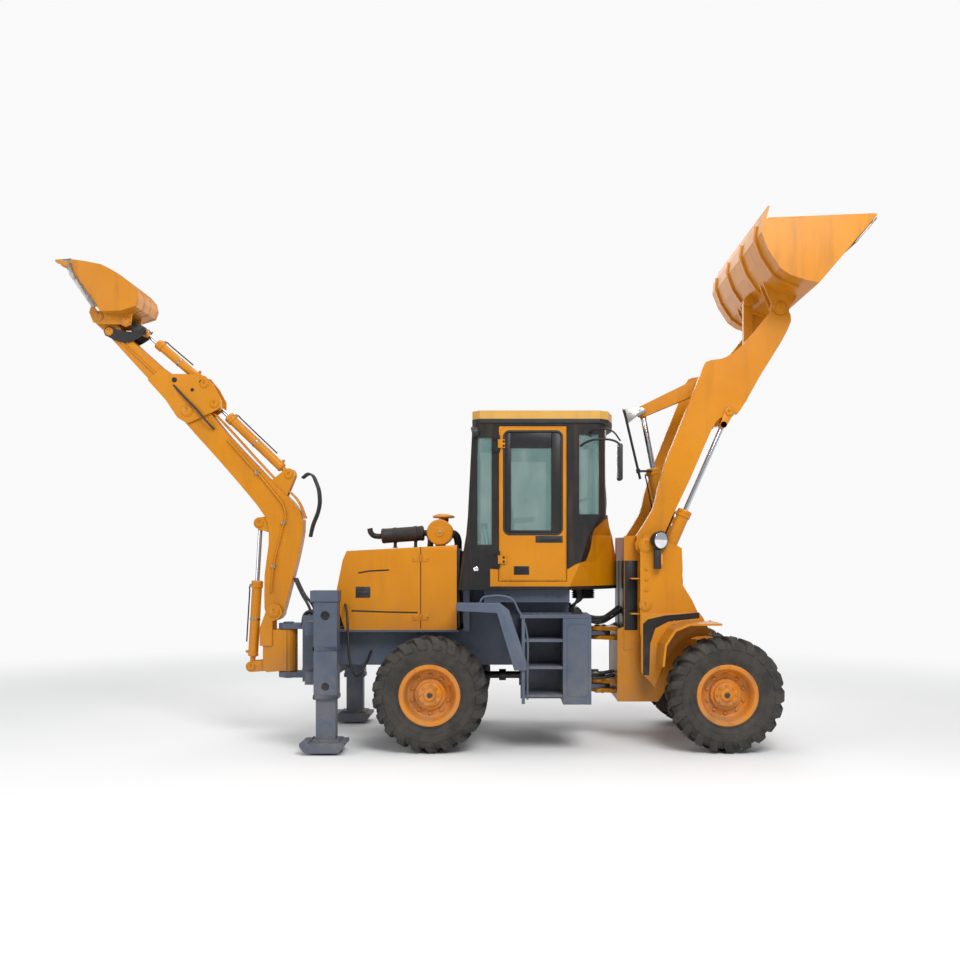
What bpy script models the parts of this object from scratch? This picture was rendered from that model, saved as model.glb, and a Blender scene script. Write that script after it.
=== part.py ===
"""Articulated backhoe loader, in metres. +X is forward, +Z is up, and -Y is the machine's right side.

Every shape is drawn in the machine's own frame, where x = 0 lies WHEELBASE_DATUM behind the front axle,
y = 0 is the middle plane and z = 0 is the ground. The root empty then centres the finished machine.
"""
import math

import bmesh
import bpy
from mathutils import Matrix, Vector

# ---- running clearances
SEAT = 0.0003          # between pieces that rest on each other
PIN = 0.0003           # round a pin
RUN = 0.006            # between pieces that move past each other

# ---- wheels and axles
WHEELBASE = 2.745
WHEELBASE_DATUM = 2.05
FRONT_AXLE_X = WHEELBASE_DATUM
REAR_AXLE_X = FRONT_AXLE_X - WHEELBASE
TRACK = 1.64
TYRE_RADIUS = 0.5375
TYRE_WIDTH = 0.405
BEAD_RADIUS = 0.262
BEAD_WIDTH = 0.300
RIM_THICK = 0.030
HUB_RADIUS = 0.147
SPINDLE_RADIUS = 0.052
AXLE_TUBE_RADIUS = 0.075
ROUND = 20             # sides of a tyre and its rim
PIN_SIDES = 12
PIVOT_SIDES = 20       # sides of a pin or bore that turns

# ---- rear chassis
PIVOT_X = 0.97
HITCH_HEIGHTS = ((1.03, 1.07), (0.50, 0.54))
HITCH_PIN_RADIUS = 0.035
CHASSIS_HALF = 0.43
CHASSIS_PLATE = 0.03
CHASSIS_BOTTOM = 0.764
CHASSIS_TOP = 1.115
CHASSIS_REAR_X = -1.70
CHASSIS_FRONT_X = 0.62
CAB_BASE_TOP = 1.4997
FENDER_OUT = 1.00
SHEET = 0.02
BORE_PAST = 0.05       # how far a cutter runs past what it cuts
STEP_IN = 0.004        # keeps the step box's plates off each other's planes

# ---- engine hood and what stands on it
HOOD_HALF = 0.60
HOOD_WALL = 0.025
HOOD_ROUND = 0.05
HOOD_FRONT_X = -0.461
HOOD_REAR_X = -1.613
HOOD_TOP_REAR = (-1.517, 1.872)
HOOD_TOP_FRONT = (HOOD_FRONT_X, 1.930)
MUFFLER_Y = -0.28
MUFFLER_RADIUS = 0.075
CLEANER_X = -0.636
CLEANER_RADIUS = 0.126
CLEANER_Y = (-0.45, -0.13)

# ---- cab
CAB_HALF = 0.68
CAB_WALL = 0.05
CAB_FLOOR = 1.50
CAB_FLOOR_THICK = 0.06
CAB_TOP = 3.10
ROOF_TOP = 3.205
GLASS = 0.008
GLASS_SET_IN = 0.015
DOOR_X = (-0.057, 0.584)
DOOR_Z = (1.587, 3.055)
HINGE_OUT = 0.012
HINGE_RADIUS = 0.011
HINGE_LENGTH = 0.08
HINGE_RELIEF = 0.04    # share of a strap left off beside the knuckle
HINGE_HEIGHTS = (1.75, 2.85)
DOOR_GLASS_X = (0.000, 0.532)
DOOR_GLASS_Z = (2.04, 3.00)
# height, rear x, x where the straight side ends, then the front's corner, its nose's edge and its middle
CAB_LEVELS = (
    (CAB_FLOOR, -0.4465, 0.600, (0.885, 0.41), (1.085, 0.13), 1.135),
    (1.767, -0.415, 0.720, (0.885, 0.41), (1.085, 0.13), 1.135),
    (2.030, -0.370, 0.800, (0.885, 0.43), (1.060, 0.15), 1.090),
    (2.200, -0.355, 0.900, (0.955, 0.62), (1.000, 0.45), 1.038),
    (CAB_TOP, -0.310, 0.900, (0.955, 0.62), (0.985, 0.45), 1.018),
)

# ---- stabilizers and side-shift frame
RAIL_X = (-1.87, -1.70)
RAIL_TOP_Z = (1.08, 1.20)
RAIL_LOW_Z = (0.62, 0.74)
SLEEVE_X = (-1.762, -1.546)
SLEEVE_Y = (0.81, 0.98)
SLEEVE_Z = (0.498, 1.413)
SLEEVE_WALL = 0.012
LEG_TOP = 1.02
FOOT_TOP = 0.13
FOOT_BOTTOM = 0.02
FOOT_X = (-1.877, -1.472)
CARRIAGE_HALF = 0.30
SWING_X = -2.20
SWING_RADIUS = 0.09
SWING_Z = 0.9
SWING_PIN_RADIUS = 0.035
LUG_HEIGHTS = ((0.60, 0.655), (1.09, 1.145))

# ---- backhoe linkage pins, as (x, z) in the middle plane
BOOM_FOOT = (-2.328, 1.262)
BOOM_CYL_BASE = (-2.570, 0.707)
BOOM_CYL_EYE = (-2.485, 2.159)
BOOM_NOSE = (-3.205, 3.288)
STICK_CYL_BASE = (-2.190, 2.650)
STICK_CYL_EYE = (-2.930, 3.360)
STICK_TIP = (-4.080, 4.230)
BUCKET_CYL_BASE = (-3.030, 3.560)
BUCKET_CYL_EYE = (-3.670, 4.105)
ROCKER_FOOT = (-3.985, 4.085)
BUCKET_EAR = (-3.800, 4.185)
HOE_WIDTH = 0.60
HOE_SHEET = 0.018
HOE_TEETH = 5
HOE_EAR_Y = (0.125, 0.150)

# ---- front frame and loader linkage pins
FRAME_BOTTOM = 0.74
TOWER_OUT = (0.545, 0.565)
TOWER_IN = (0.375, 0.395)
ARM_Y = (0.43, 0.51)
ARM_FOOT = (1.358, 1.930)
LIFT_CYL_BASE = (1.350, 1.350)
LIFT_CYL_EYE = (2.163, 3.212)
ARM_TIP = (2.660, 4.230)
TILT_CYL_BASE = (1.680, 1.837)
TILT_CYL_EYE = (1.395, 3.293)
CRANK_PIVOT = (1.985, 3.561)
CRANK_FRONT = (2.476, 3.602)
LOADER_EAR = (2.465, 4.403)
CROSS_TUBE = (2.080, 3.400)
BUCKET_WIDTH = 2.15
BUCKET_SHEET = 0.025

CLEVIS_IN = 0.034      # from the middle plane to a clevis cheek
CLEVIS_OUT = 0.060
LIFT_CYL_Y = 0.47      # from the middle plane to a lift cylinder
FRONT_FENDER_OUT = 0.98
LAP = 0.005            # how far welded plates run into each other
EYE_HALF = 0.030       # half the thickness of an eye between two cheeks
CRANK_Y = (0.040, 0.062)
PIN_RADIUS = 0.025
BIG_PIN_RADIUS = 0.030
ARM_PIN_RADIUS = 0.040
FORK_REACH = 0.13      # from a forked rod's pin back to where its cheeks meet
FORK_HEAD_RADIUS = 0.032


def clear_scene():
    for obj in list(bpy.data.objects):
        bpy.data.objects.remove(obj, do_unlink=True)


def new_collection(name):
    made = bpy.data.collections.new(name)
    bpy.context.scene.collection.children.link(made)
    return made


clear_scene()
MACHINE = new_collection("backhoe_loader")
CUTTERS = new_collection("cutters")
CUTTERS.hide_render = True
ROOT = bpy.data.objects.new("machine_frame", None)
MACHINE.objects.link(ROOT)
PIVOTS = {}            # where each piece's origin is, in the machine's frame


# ---------------------------------------------------------------- materials
def paint(name, colour, roughness, metallic=0.0):
    made = bpy.data.materials.new(name)
    made.use_nodes = True
    shader = made.node_tree.nodes["Principled BSDF"]
    shader.inputs["Base Color"].default_value = (*colour, 1)
    shader.inputs["Roughness"].default_value = roughness
    shader.inputs["Metallic"].default_value = metallic
    made.diffuse_color = (*colour, 1)
    return made


YELLOW = paint("machine_yellow", (0.62, 0.24, 0.005), 0.42)
PALE_YELLOW = paint("roof_yellow", (0.62, 0.35, 0.08), 0.5)
GREY = paint("chassis_grey", (0.095, 0.117, 0.162), 0.5)
BLACK = paint("black_paint", (0.010, 0.010, 0.012), 0.5)
DARK_STEEL = paint("dark_steel", (0.06, 0.055, 0.05), 0.55, 0.6)
CHROME = paint("rod_chrome", (0.55, 0.57, 0.60), 0.15, 1.0)
RUBBER = paint("tyre_rubber", (0.028, 0.026, 0.024), 0.85)
HUB_ORANGE = paint("hub_orange", (0.80, 0.26, 0.02), 0.45)
GLAZING = paint("cab_glass", (0.25, 0.41, 0.38), 0.05)
SEAT_BLACK = paint("seat_vinyl", (0.015, 0.015, 0.016), 0.6)


# ---------------------------------------------------------------- shapes
def keep_as_solid(mesh, name="shape"):
    """A closed mesh in the machine's frame, as a hidden helper object."""
    work = bmesh.new()
    work.from_mesh(mesh)
    bmesh.ops.remove_doubles(work, verts=work.verts, dist=0.00002)
    bmesh.ops.recalc_face_normals(work, faces=work.faces)
    work.to_mesh(mesh)
    work.free()
    obj = bpy.data.objects.new(name, mesh)
    obj.hide_render = True
    obj.display_type = "WIRE"
    obj.parent = ROOT
    CUTTERS.objects.link(obj)
    return obj


def evaluated_mesh(guide):
    """The mesh that a curve or a modified guide makes, in world space. The guide is removed."""
    CUTTERS.objects.link(guide)
    bpy.context.view_layer.update()
    graph = bpy.context.evaluated_depsgraph_get()
    mesh = bpy.data.meshes.new_from_object(guide.evaluated_get(graph))
    mesh.transform(guide.matrix_world)
    bpy.data.objects.remove(guide, do_unlink=True)
    return mesh


def box(x, y, z):
    work = bmesh.new()
    bmesh.ops.create_cube(work, size=1)
    size = Vector((x[1] - x[0], y[1] - y[0], z[1] - z[0]))
    middle = Vector((x[0] + x[1], y[0] + y[1], z[0] + z[1])) / 2
    bmesh.ops.scale(work, vec=size, verts=work.verts)
    bmesh.ops.translate(work, vec=middle, verts=work.verts)
    mesh = bpy.data.meshes.new("box")
    work.to_mesh(mesh)
    work.free()
    return keep_as_solid(mesh)


def bar(start, end, radius, end_radius=None, sides=PIN_SIDES):
    """A round bar, or a cone, between two points."""
    start, end = Vector(start), Vector(end)
    along = end - start
    work = bmesh.new()
    bmesh.ops.create_cone(
        work, cap_ends=True, segments=sides, radius1=radius,
        radius2=radius if end_radius is None else end_radius, depth=along.length,
    )
    turn = Vector((0, 0, 1)).rotation_difference(along.normalized()).to_matrix().to_4x4()
    work.transform(Matrix.Translation((start + end) / 2) @ turn)
    mesh = bpy.data.meshes.new("bar")
    work.to_mesh(mesh)
    work.free()
    return keep_as_solid(mesh)


def pin(place, y, radius, sides=PIN_SIDES):
    """A round bar across the machine, at an (x, z) place."""
    return bar((place[0], y[0], place[1]), (place[0], y[1], place[1]), radius, sides=sides)


def bore_radius(radius):
    """The radius of a many-sided hole in which a many-sided pin of this radius turns freely."""
    return (radius + PIN) / math.cos(math.pi / PIVOT_SIDES)


def bore(place, y, radius):
    return pin(place, y, bore_radius(radius), PIVOT_SIDES)


def pivot_pin(place, y, radius=PIN_RADIUS):
    return pin(place, y, radius, PIVOT_SIDES)


# Each plane's matrix takes an outline's own X, Y and thickness to the machine's axes.
PLANES = {
    "side": Matrix(((1, 0, 0, 0), (0, 0, -1, 0), (0, 1, 0, 0), (0, 0, 0, 1))),
    "plan": Matrix.Identity(4),
    "front": Matrix(((0, 0, 1, 0), (1, 0, 0, 0), (0, 1, 0, 0), (0, 0, 0, 1))),
}


def plate(outline, span, plane="side", holes=()):
    """A flat outline given thickness: side is (x, z) across y, plan (x, y) up z, front (y, z) along x."""
    curve = bpy.data.curves.new("outline", "CURVE")
    curve.dimensions = "2D"
    curve.fill_mode = "BOTH"
    curve.extrude = abs(span[1] - span[0]) / 2
    for points in (outline, *holes):
        spline = curve.splines.new("POLY")
        spline.points.add(len(points) - 1)
        for point, (u, v) in zip(spline.points, points):
            point.co = (u, v, 0, 1)
        spline.use_cyclic_u = True
    guide = bpy.data.objects.new("outline", curve)
    middle = (span[0] + span[1]) / 2
    shift = {"side": (0, middle, 0), "plan": (0, 0, middle), "front": (middle, 0, 0)}[plane]
    guide.matrix_world = Matrix.Translation(shift) @ PLANES[plane]
    return keep_as_solid(evaluated_mesh(guide))


def turned(profile, centre, side=1, sides=ROUND):
    """A profile of (radius, y) points turned round a wheel's axis. side -1 turns it to face -Y."""
    mesh = bpy.data.meshes.new("profile")
    points = [(radius, y, 0) for radius, y in profile]
    closed = profile[0][0] > 0
    links = [(i, i + 1) for i in range(len(points) - 1)]
    mesh.from_pydata(points, links + [(len(points) - 1, 0)] * closed, [])
    guide = bpy.data.objects.new("profile", mesh)
    screw = guide.modifiers.new("turn", "SCREW")
    screw.axis = "Y"
    screw.steps = screw.render_steps = sides
    screw.use_merge_vertices = True
    screw.merge_threshold = 0.0001
    guide.matrix_world = Matrix.Translation(centre) @ Matrix.Diagonal((1, side, 1, 1))
    return keep_as_solid(evaluated_mesh(guide))


def pipe(points, radius, name="pipe"):
    curve = bpy.data.curves.new(name, "CURVE")
    curve.dimensions = "3D"
    curve.bevel_depth = radius
    curve.bevel_resolution = 1
    curve.use_fill_caps = True
    spline = curve.splines.new("POLY")
    spline.points.add(len(points) - 1)
    for point, place in zip(spline.points, points):
        point.co = (*place, 1)
    return keep_as_solid(evaluated_mesh(bpy.data.objects.new(name, curve)))


def loft(rings):
    """A closed solid through rings of the same number of points."""
    work = bmesh.new()
    rows = [[work.verts.new(point) for point in ring] for ring in rings]
    for low, high in zip(rows, rows[1:]):
        for i in range(len(low)):
            j = (i + 1) % len(low)
            work.faces.new((low[i], low[j], high[j], high[i]))
    work.faces.new(rows[0])
    work.faces.new(rows[-1])
    bmesh.ops.triangulate(work, faces=work.faces)
    mesh = bpy.data.meshes.new("loft")
    work.to_mesh(mesh)
    work.free()
    return keep_as_solid(mesh)


def arc(centre, radius, start, end, steps=6):
    """Points on an arc from one angle to another, in degrees."""
    angles = [math.radians(start + (end - start) * i / steps) for i in range(steps + 1)]
    return [(centre[0] + radius * math.cos(a), centre[1] + radius * math.sin(a)) for a in angles]


def smooth(points, steps=3):
    """An open run of points, rounded through each of them (Catmull-Rom)."""
    ends = [points[0], *points, points[-1]]
    found = []
    for a, b, c, d in zip(ends, ends[1:], ends[2:], ends[3:]):
        for i in range(steps):
            t = i / steps
            found.append(tuple(
                0.5 * (2 * q + (r - p) * t + (2 * p - 5 * q + 4 * r - s) * t**2
                       + (3 * q - p - 3 * r + s) * t**3)
                for p, q, r, s in zip(a, b, c, d)))
    return [*found, points[-1]]


def inset(points, distances):
    """A convex outline with each edge moved inwards by its own distance."""
    area = sum(a[0] * b[1] - a[1] * b[0] for a, b in zip(points, points[1:] + points[:1]))
    turn = 1 if area > 0 else -1
    lines = []
    for a, b, distance in zip(points, points[1:] + points[:1], distances):
        length = math.dist(a, b)
        normal = (-(b[1] - a[1]) / length * turn, (b[0] - a[0]) / length * turn)
        lines.append((normal, normal[0] * a[0] + normal[1] * a[1] + distance))
    found = []
    for (n, c), (m, d) in zip([lines[-1], *lines], lines):
        cross = n[0] * m[1] - n[1] * m[0]
        found.append(((c * m[1] - d * n[1]) / cross, (n[0] * d - m[0] * c) / cross))
    return found


def link_outline(start, end, start_radius, end_radius):
    """A bar with round ends, in the side plane."""
    angle = math.degrees(math.atan2(end[1] - start[1], end[0] - start[0]))
    return (arc(start, start_radius, angle + 90, angle + 270)
            + arc(end, end_radius, angle - 90, angle + 90))


def lifted(pair, side):
    """A (near, far) pair of distances from the middle plane, put on one side as (low, high)."""
    return tuple(sorted(side * value for value in pair))


# ---------------------------------------------------------------- pieces
def piece(name, material, solids, cuts=(), common=(), pivot=(0, 0, 0), carrier=None):
    """Joins the solids, makes the cuts, and keeps one named part with its origin at its pivot."""
    obj = solids[0]
    obj.name = name
    obj.hide_render = False
    obj.display_type = "TEXTURED"
    CUTTERS.objects.unlink(obj)
    MACHINE.objects.link(obj)
    obj.data.name = name
    obj.data.transform(Matrix.Translation(-Vector(pivot)))
    PIVOTS[name] = Vector(pivot)
    if carrier:
        obj.parent = bpy.data.objects[carrier]
        obj.location = Vector(pivot) - PIVOTS[carrier]
    else:
        obj.location = pivot
    for operation, tools in (("UNION", solids[1:]), ("INTERSECT", common), ("DIFFERENCE", cuts)):
        for tool in tools:
            modifier = obj.modifiers.new(operation.lower(), "BOOLEAN")
            modifier.operation = operation
            modifier.solver = "EXACT"
            modifier.object = tool
    obj.data.materials.clear()
    obj.data.materials.append(material)
    obj.data.shade_smooth()
    obj.data.set_sharp_from_angle(angle=math.radians(35))
    return obj


def at(place, y=0.0):
    """An (x, z) pin place as a point."""
    return Vector((place[0], y, place[1]))


def along(start, end, distance):
    """The (x, z) point that lies a distance from start on the way to end."""
    share = distance / math.dist(start, end)
    return tuple(a + (b - a) * share for a, b in zip(start, end))


# ---------------------------------------------------------------- wheels and axles
def wheel(name, x, side, carrier):
    centre = (x, side * TRACK / 2, TYRE_RADIUS)
    bead, half = BEAD_WIDTH / 2, TYRE_WIDTH / 2
    flank = [(BEAD_RADIUS, bead), (BEAD_RADIUS + 0.030, bead), (0.33, half - 0.025), (0.43, half),
             (TYRE_RADIUS - 0.030, half - 0.015), (TYRE_RADIUS, half - 0.07)]
    tread = [(radius, -y) for radius, y in reversed(flank)]
    piece(f"{name}_tyre", RUBBER, [turned(flank + tread, centre)], pivot=centre, carrier=carrier)
    seat, lip, barrel = BEAD_RADIUS - SEAT, BEAD_RADIUS + 0.022, BEAD_RADIUS - RIM_THICK
    edge, flange = bead + SEAT, bead + 0.018
    hole = SPINDLE_RADIUS * 1.015 + PIN
    profile = [(0, 0.14), (HUB_RADIUS - 0.04, 0.14), (HUB_RADIUS, 0.115), (HUB_RADIUS, 0.05),
               (barrel, 0.05), (barrel, flange), (lip, flange), (lip, edge), (seat, edge),
               (seat, -edge), (lip, -edge), (lip, -flange), (barrel, -flange), (barrel, 0.02),
               (hole, 0.02), (hole, 0.03), (0, 0.03)]
    rim = turned(profile, centre, side)
    piece(f"{name}_rim", HUB_ORANGE, [rim], pivot=centre, carrier=f"{name}_tyre")


def axle(name, x, seat_height, seat_span):
    """A beam axle with a differential, seats for the frame above and a spindle in each wheel."""
    height, reach = TYRE_RADIUS, TRACK / 2
    solids = [bar((x, -reach + 0.11, height), (x, reach - 0.11, height), AXLE_TUBE_RADIUS)]
    solids.append(bar((x - 0.17, 0.02, height), (x + 0.15, 0.02, height), 0.16, 0.19, sides=16))
    solids.append(bar((x - 0.26, 0.02, height), (x - 0.16, 0.02, height), 0.07, 0.12))
    for side in (-1, 1):
        drum = lifted((reach - 0.12, reach - 0.036), side)
        spindle = lifted((reach - 0.13, reach + 0.025), side)
        solids.append(pin((x, height), drum, 0.13, sides=16))
        solids.append(pin((x, height), spindle, SPINDLE_RADIUS))
        solids.append(box((x - 0.09, x + 0.09), lifted(seat_span, side), (height, seat_height - SEAT)))
    piece(name, DARK_STEEL, solids)


# ---------------------------------------------------------------- rear chassis
def hitch_lug(z, reach_x, half, radius=0.10):
    """A horizontal lug that rounds off at the articulation pin."""
    turn = -90 if reach_x < PIVOT_X else 90
    nose = arc((PIVOT_X, 0), radius, turn, turn + 180, 8)
    ends = [(reach_x, half), (reach_x, -half)] if reach_x < PIVOT_X else [(reach_x, -half), (reach_x, half)]
    return plate(nose + ends, z, "plan")


def rear_chassis():
    inner = CHASSIS_HALF - CHASSIS_PLATE
    sides, feet = [], []
    side_outline = [
        (CHASSIS_REAR_X + SEAT, CHASSIS_BOTTOM), (CHASSIS_FRONT_X, CHASSIS_BOTTOM),
        (CHASSIS_FRONT_X, CAB_BASE_TOP - 0.1), (CHASSIS_FRONT_X, CAB_BASE_TOP), (-0.30, CAB_BASE_TOP),
        (-0.40, CHASSIS_TOP), (CHASSIS_REAR_X + SEAT, CHASSIS_TOP)]
    fender = [(-0.45, 1.38), (-0.046, 1.38), (0.14, 0.85), (0.118, 0.85), (-0.062, 1.36), (-0.45, 1.36)]
    for side in (-1, 1):
        sides.append(plate(side_outline, lifted((inner, CHASSIS_HALF), side)))
        sides.append(box((-1.60, HOOD_FRONT_X + 0.02), lifted((inner + 0.01, HOOD_HALF), side),
                         (CHASSIS_TOP - SHEET, CHASSIS_TOP)))
        sides.append(box((-0.20, CHASSIS_FRONT_X), lifted((inner + 0.01, 0.60), side),
                         (CAB_BASE_TOP - 0.12, CAB_BASE_TOP)))
        sides.append(plate(fender, lifted((inner + 0.01, FENDER_OUT), side)))
        feet.append(box((-0.40, -0.34), lifted((CHASSIS_HALF - 0.02, 0.55), side), (1.10, CAB_BASE_TOP)))
    across = (-inner - 0.01, inner + 0.01)
    cross = [box((x, x + SHEET), across, (CHASSIS_BOTTOM, CHASSIS_TOP)) for x in (-1.65, -0.42)]
    cross.append(box((CHASSIS_FRONT_X - SHEET, CHASSIS_FRONT_X), across, (0.48, CAB_BASE_TOP)))
    cross.append(box((-0.36, -0.30), across, (CAB_BASE_TOP - 0.08, CAB_BASE_TOP)))
    cross += [box((x - 0.04, x + 0.04), across, (0.79, 0.82)) for x in (-1.20, -0.72)]
    lugs = [hitch_lug(z, CHASSIS_FRONT_X - 0.01, 0.26) for z in HITCH_HEIGHTS]
    hole = bore_radius(HITCH_PIN_RADIUS)
    bores = [bar((PIVOT_X, 0, low - BORE_PAST), (PIVOT_X, 0, high + BORE_PAST), hole, sides=PIVOT_SIDES)
             for low, high in HITCH_HEIGHTS]
    piece("rear_chassis", GREY, sides + feet + cross + lugs, cuts=bores)


def step_box(name, side):
    """Ladder, platform and tank that hang on the chassis side under the cab door."""
    y_in, y_wall, y_out = 0.50, 0.53, 0.98
    left, middle, right = 0.15, 0.535, 0.80
    bottom, top = 0.45, 1.28
    solids = [
        box((left, right), lifted((y_in, y_wall), side), (bottom, top - 0.01)),
        box((middle, right - STEP_IN), lifted((y_in + 0.01, y_out - STEP_IN), side),
            (bottom + STEP_IN, top - 0.015)),
        box((left - 0.01, right - 0.01), lifted((y_in + STEP_IN, y_out), side), (top - 0.03, top)),
        box((left + STEP_IN, left + STEP_IN + 0.03), lifted((y_out - 0.06, y_out - STEP_IN), side),
            (bottom + 0.01, top - 0.02)),
    ]
    for height in (0.52, 0.78, 1.03):
        rung = lifted((y_in + 0.01, y_out - 0.01), side)
        solids.append(box((left + 0.01, middle + 0.01), rung, (height, height + 0.025)))
    for x in (0.22, 0.46):
        solids.append(box((x, x + 0.08), lifted((CHASSIS_HALF + SEAT, y_wall), side), (0.90, 1.05)))
    piece(name, GREY, solids)


# ---------------------------------------------------------------- hood, engine, muffler, air cleaner
def hood_top(x):
    (x0, z0), (x1, z1) = HOOD_TOP_REAR, HOOD_TOP_FRONT
    return z0 + (z1 - z0) * (x - x0) / (x1 - x0)


def engine_hood():
    low = CHASSIS_TOP + SEAT
    outline = [(HOOD_FRONT_X, low), HOOD_TOP_FRONT, HOOD_TOP_REAR, (-1.555, 1.786),
               (HOOD_REAR_X, 1.498), (-1.603, 1.354), (-1.536, low)]
    wall = [HOOD_WALL] * len(outline)
    wall[-1] = -0.05
    half, inner = HOOD_HALF, HOOD_HALF - HOOD_WALL
    section = [(-half, low - 0.1), (half, low - 0.1)]
    section += arc((half - HOOD_ROUND, 1.93 - HOOD_ROUND), HOOD_ROUND, 0, 90, 4)
    section += arc((HOOD_ROUND - half, 1.93 - HOOD_ROUND), HOOD_ROUND, 90, 180, 4)
    piece("engine_hood", YELLOW, [plate(outline, (-half, half))],
          common=[plate(section, (HOOD_REAR_X - 0.1, HOOD_FRONT_X + 0.1), "front")],
          cuts=[plate(inset(outline, wall), (-inner, inner))])
    piece("engine_block", DARK_STEEL, [box((-1.34, -0.58), (-0.27, 0.27), (0.82 + SEAT, 1.74))])


def muffler():
    y = MUFFLER_Y
    rear, front = (-1.22, y, 2.022), (-0.80, y, 2.052)
    solids = [bar(rear, front, MUFFLER_RADIUS, sides=20)]
    tail = [(-1.20, y, 2.02), (-1.27, y, 2.02), (-1.315, y - 0.02, 2.04), (-1.33, y - 0.03, 2.09)]
    solids.append(pipe(tail, 0.028))
    for x in (-1.07, -0.86):
        solids.append(box((x, x + 0.05), (y - 0.05, y + 0.05), (hood_top(x + 0.05) + SEAT, 2.03)))
    piece("muffler", BLACK, solids)


def air_cleaner():
    x, height = CLEANER_X, hood_top(CLEANER_X) + CLEANER_RADIUS + 0.006
    solids = [pin((x, height), CLEANER_Y, CLEANER_RADIUS, sides=24)]
    solids.append(bar((x + 0.03, -0.29, height), (x + 0.03, -0.29, 2.22), 0.045))
    solids.append(bar((x + 0.03, -0.29, 2.20), (x + 0.03, -0.29, 2.245), 0.11, 0.06, sides=24))
    solids.append(box((x - 0.06, x + 0.06), (-0.36, -0.22), (hood_top(x + 0.06) + SEAT, height)))
    piece("air_cleaner", YELLOW, solids)


# ---------------------------------------------------------------- cab
def cab_ring(level, depth):
    """One horizontal outline of the cab, moved inwards by depth."""
    z, rear, side_end, corner, nose, front = level
    half = CAB_HALF - depth
    right = [(rear + depth, 0.05 - half), (rear + depth + 0.05, -half), (side_end - 0.4 * depth, -half)]
    right += [(x - depth, 0.4 * depth - y) for x, y in (corner, nose)]
    ring = right + [(front - depth, 0)] + [(x, -y) for x, y in reversed(right)]
    return [(x, y, z) for x, y in ring]


def cab_body(depth, low=None, high=None):
    """The cab's solid, moved inwards by depth, between two heights."""
    levels = list(CAB_LEVELS)
    if low is not None:
        levels[0] = (low, *levels[0][1:])
        levels[-1] = (high, *levels[-1][1:])
    return loft([cab_ring(level, depth) for level in levels])


def window_boxes(gap):
    """Each window's prism, made smaller all round by gap: name, box."""
    def span(low, high):
        return (low + gap, high - gap)
    for name, side in (("right", -1), ("left", 1)):
        y = lifted((CAB_HALF - 0.2, CAB_HALF + 0.1), side)
        yield f"rear_quarter_{name}", (span(-0.262, -0.125), y, span(1.93, 2.95))
        yield f"front_quarter_{name}", (span(0.705, 0.895), y, span(2.22, 2.98))
    yield "windshield", ((0.80, 1.30), span(-0.56, 0.56), span(2.22, 2.98))
    yield "rear_glass", ((-0.60, -0.20), span(-0.57, 0.57), span(1.95, 2.95))


def cab():
    cuts = [cab_body(CAB_WALL, CAB_FLOOR + CAB_FLOOR_THICK, CAB_TOP - 0.05)]
    cuts += [box(*spans) for _, spans in window_boxes(0)]
    for side in (-1, 1):
        cuts.append(box((DOOR_X[0] - RUN, DOOR_X[1] + RUN), lifted((CAB_HALF - 0.1, CAB_HALF + 0.1), side),
                        (DOOR_Z[0] - RUN, DOOR_Z[1] + RUN)))
    cuts.append(box((-0.1, 0.75), (-0.5, 0.5), (CAB_TOP - 0.1, CAB_TOP + 0.1)))
    leaves = []
    for side in (-1, 1):
        for z in HINGE_HEIGHTS:
            leaves += hinge_leaf(side, z - HINGE_LENGTH / 2, z - SEAT, -0.05)
            leaves += hinge_leaf(side, z + HINGE_LENGTH + SEAT, z + HINGE_LENGTH * 1.5, -0.05)
    join_after(piece("cab_frame", YELLOW, [cab_body(0)], cuts=cuts), leaves)
    roof = [(-0.312, -0.60), (-0.24, -0.69), (0.90, -0.69), (0.985, -0.62), (1.05, -0.35), (1.08, 0)]
    roof += [(x, -y) for x, y in reversed(roof[:-1])]
    piece("cab_roof", PALE_YELLOW, [plate(roof, (CAB_TOP + SEAT, ROOF_TOP), "plan")])
    for name, spans in window_boxes(SEAT):
        label = name if name in ("windshield", "rear_glass") else f"{name}_glass"
        piece(label, GLAZING, [cab_body(GLASS_SET_IN)], common=[box(*spans)],
              cuts=[cab_body(GLASS_SET_IN + GLASS)])


def hinge_leaf(side, low, high, reach):
    """A hinge knuckle and the strap that reaches from it along the cab's side."""
    x, y = DOOR_X[0], side * (CAB_HALF + HINGE_OUT)
    strap = lifted((CAB_HALF - 0.01, CAB_HALF + HINGE_OUT + 0.004), side)
    length = sorted((x + reach * HINGE_RELIEF, x + reach))
    return [bar((x, y, low), (x, y, high), HINGE_RADIUS), box(length, strap, (low, high))]


def door(name, side):
    wall = lifted((CAB_HALF - CAB_WALL, CAB_HALF), side)
    hinge = (DOOR_X[0], side * (CAB_HALF + HINGE_OUT), DOOR_Z[0])
    panel = box(DOOR_X, wall, DOOR_Z)
    leaves = [solid for z in HINGE_HEIGHTS for solid in hinge_leaf(side, z, z + HINGE_LENGTH, 0.07)]
    opening = box(DOOR_GLASS_X, lifted((CAB_HALF - 0.2, CAB_HALF + 0.2), side), DOOR_GLASS_Z)
    piece(f"{name}_door", YELLOW, [panel, *leaves], cuts=[opening], pivot=hinge)
    pane = box((DOOR_GLASS_X[0] + SEAT, DOOR_GLASS_X[1] - SEAT),
               lifted((CAB_HALF - GLASS_SET_IN - GLASS, CAB_HALF - GLASS_SET_IN), side),
               (DOOR_GLASS_Z[0] + SEAT, DOOR_GLASS_Z[1] - SEAT))
    piece(f"{name}_door_glass", GLAZING, [pane], pivot=hinge, carrier=f"{name}_door")


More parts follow.
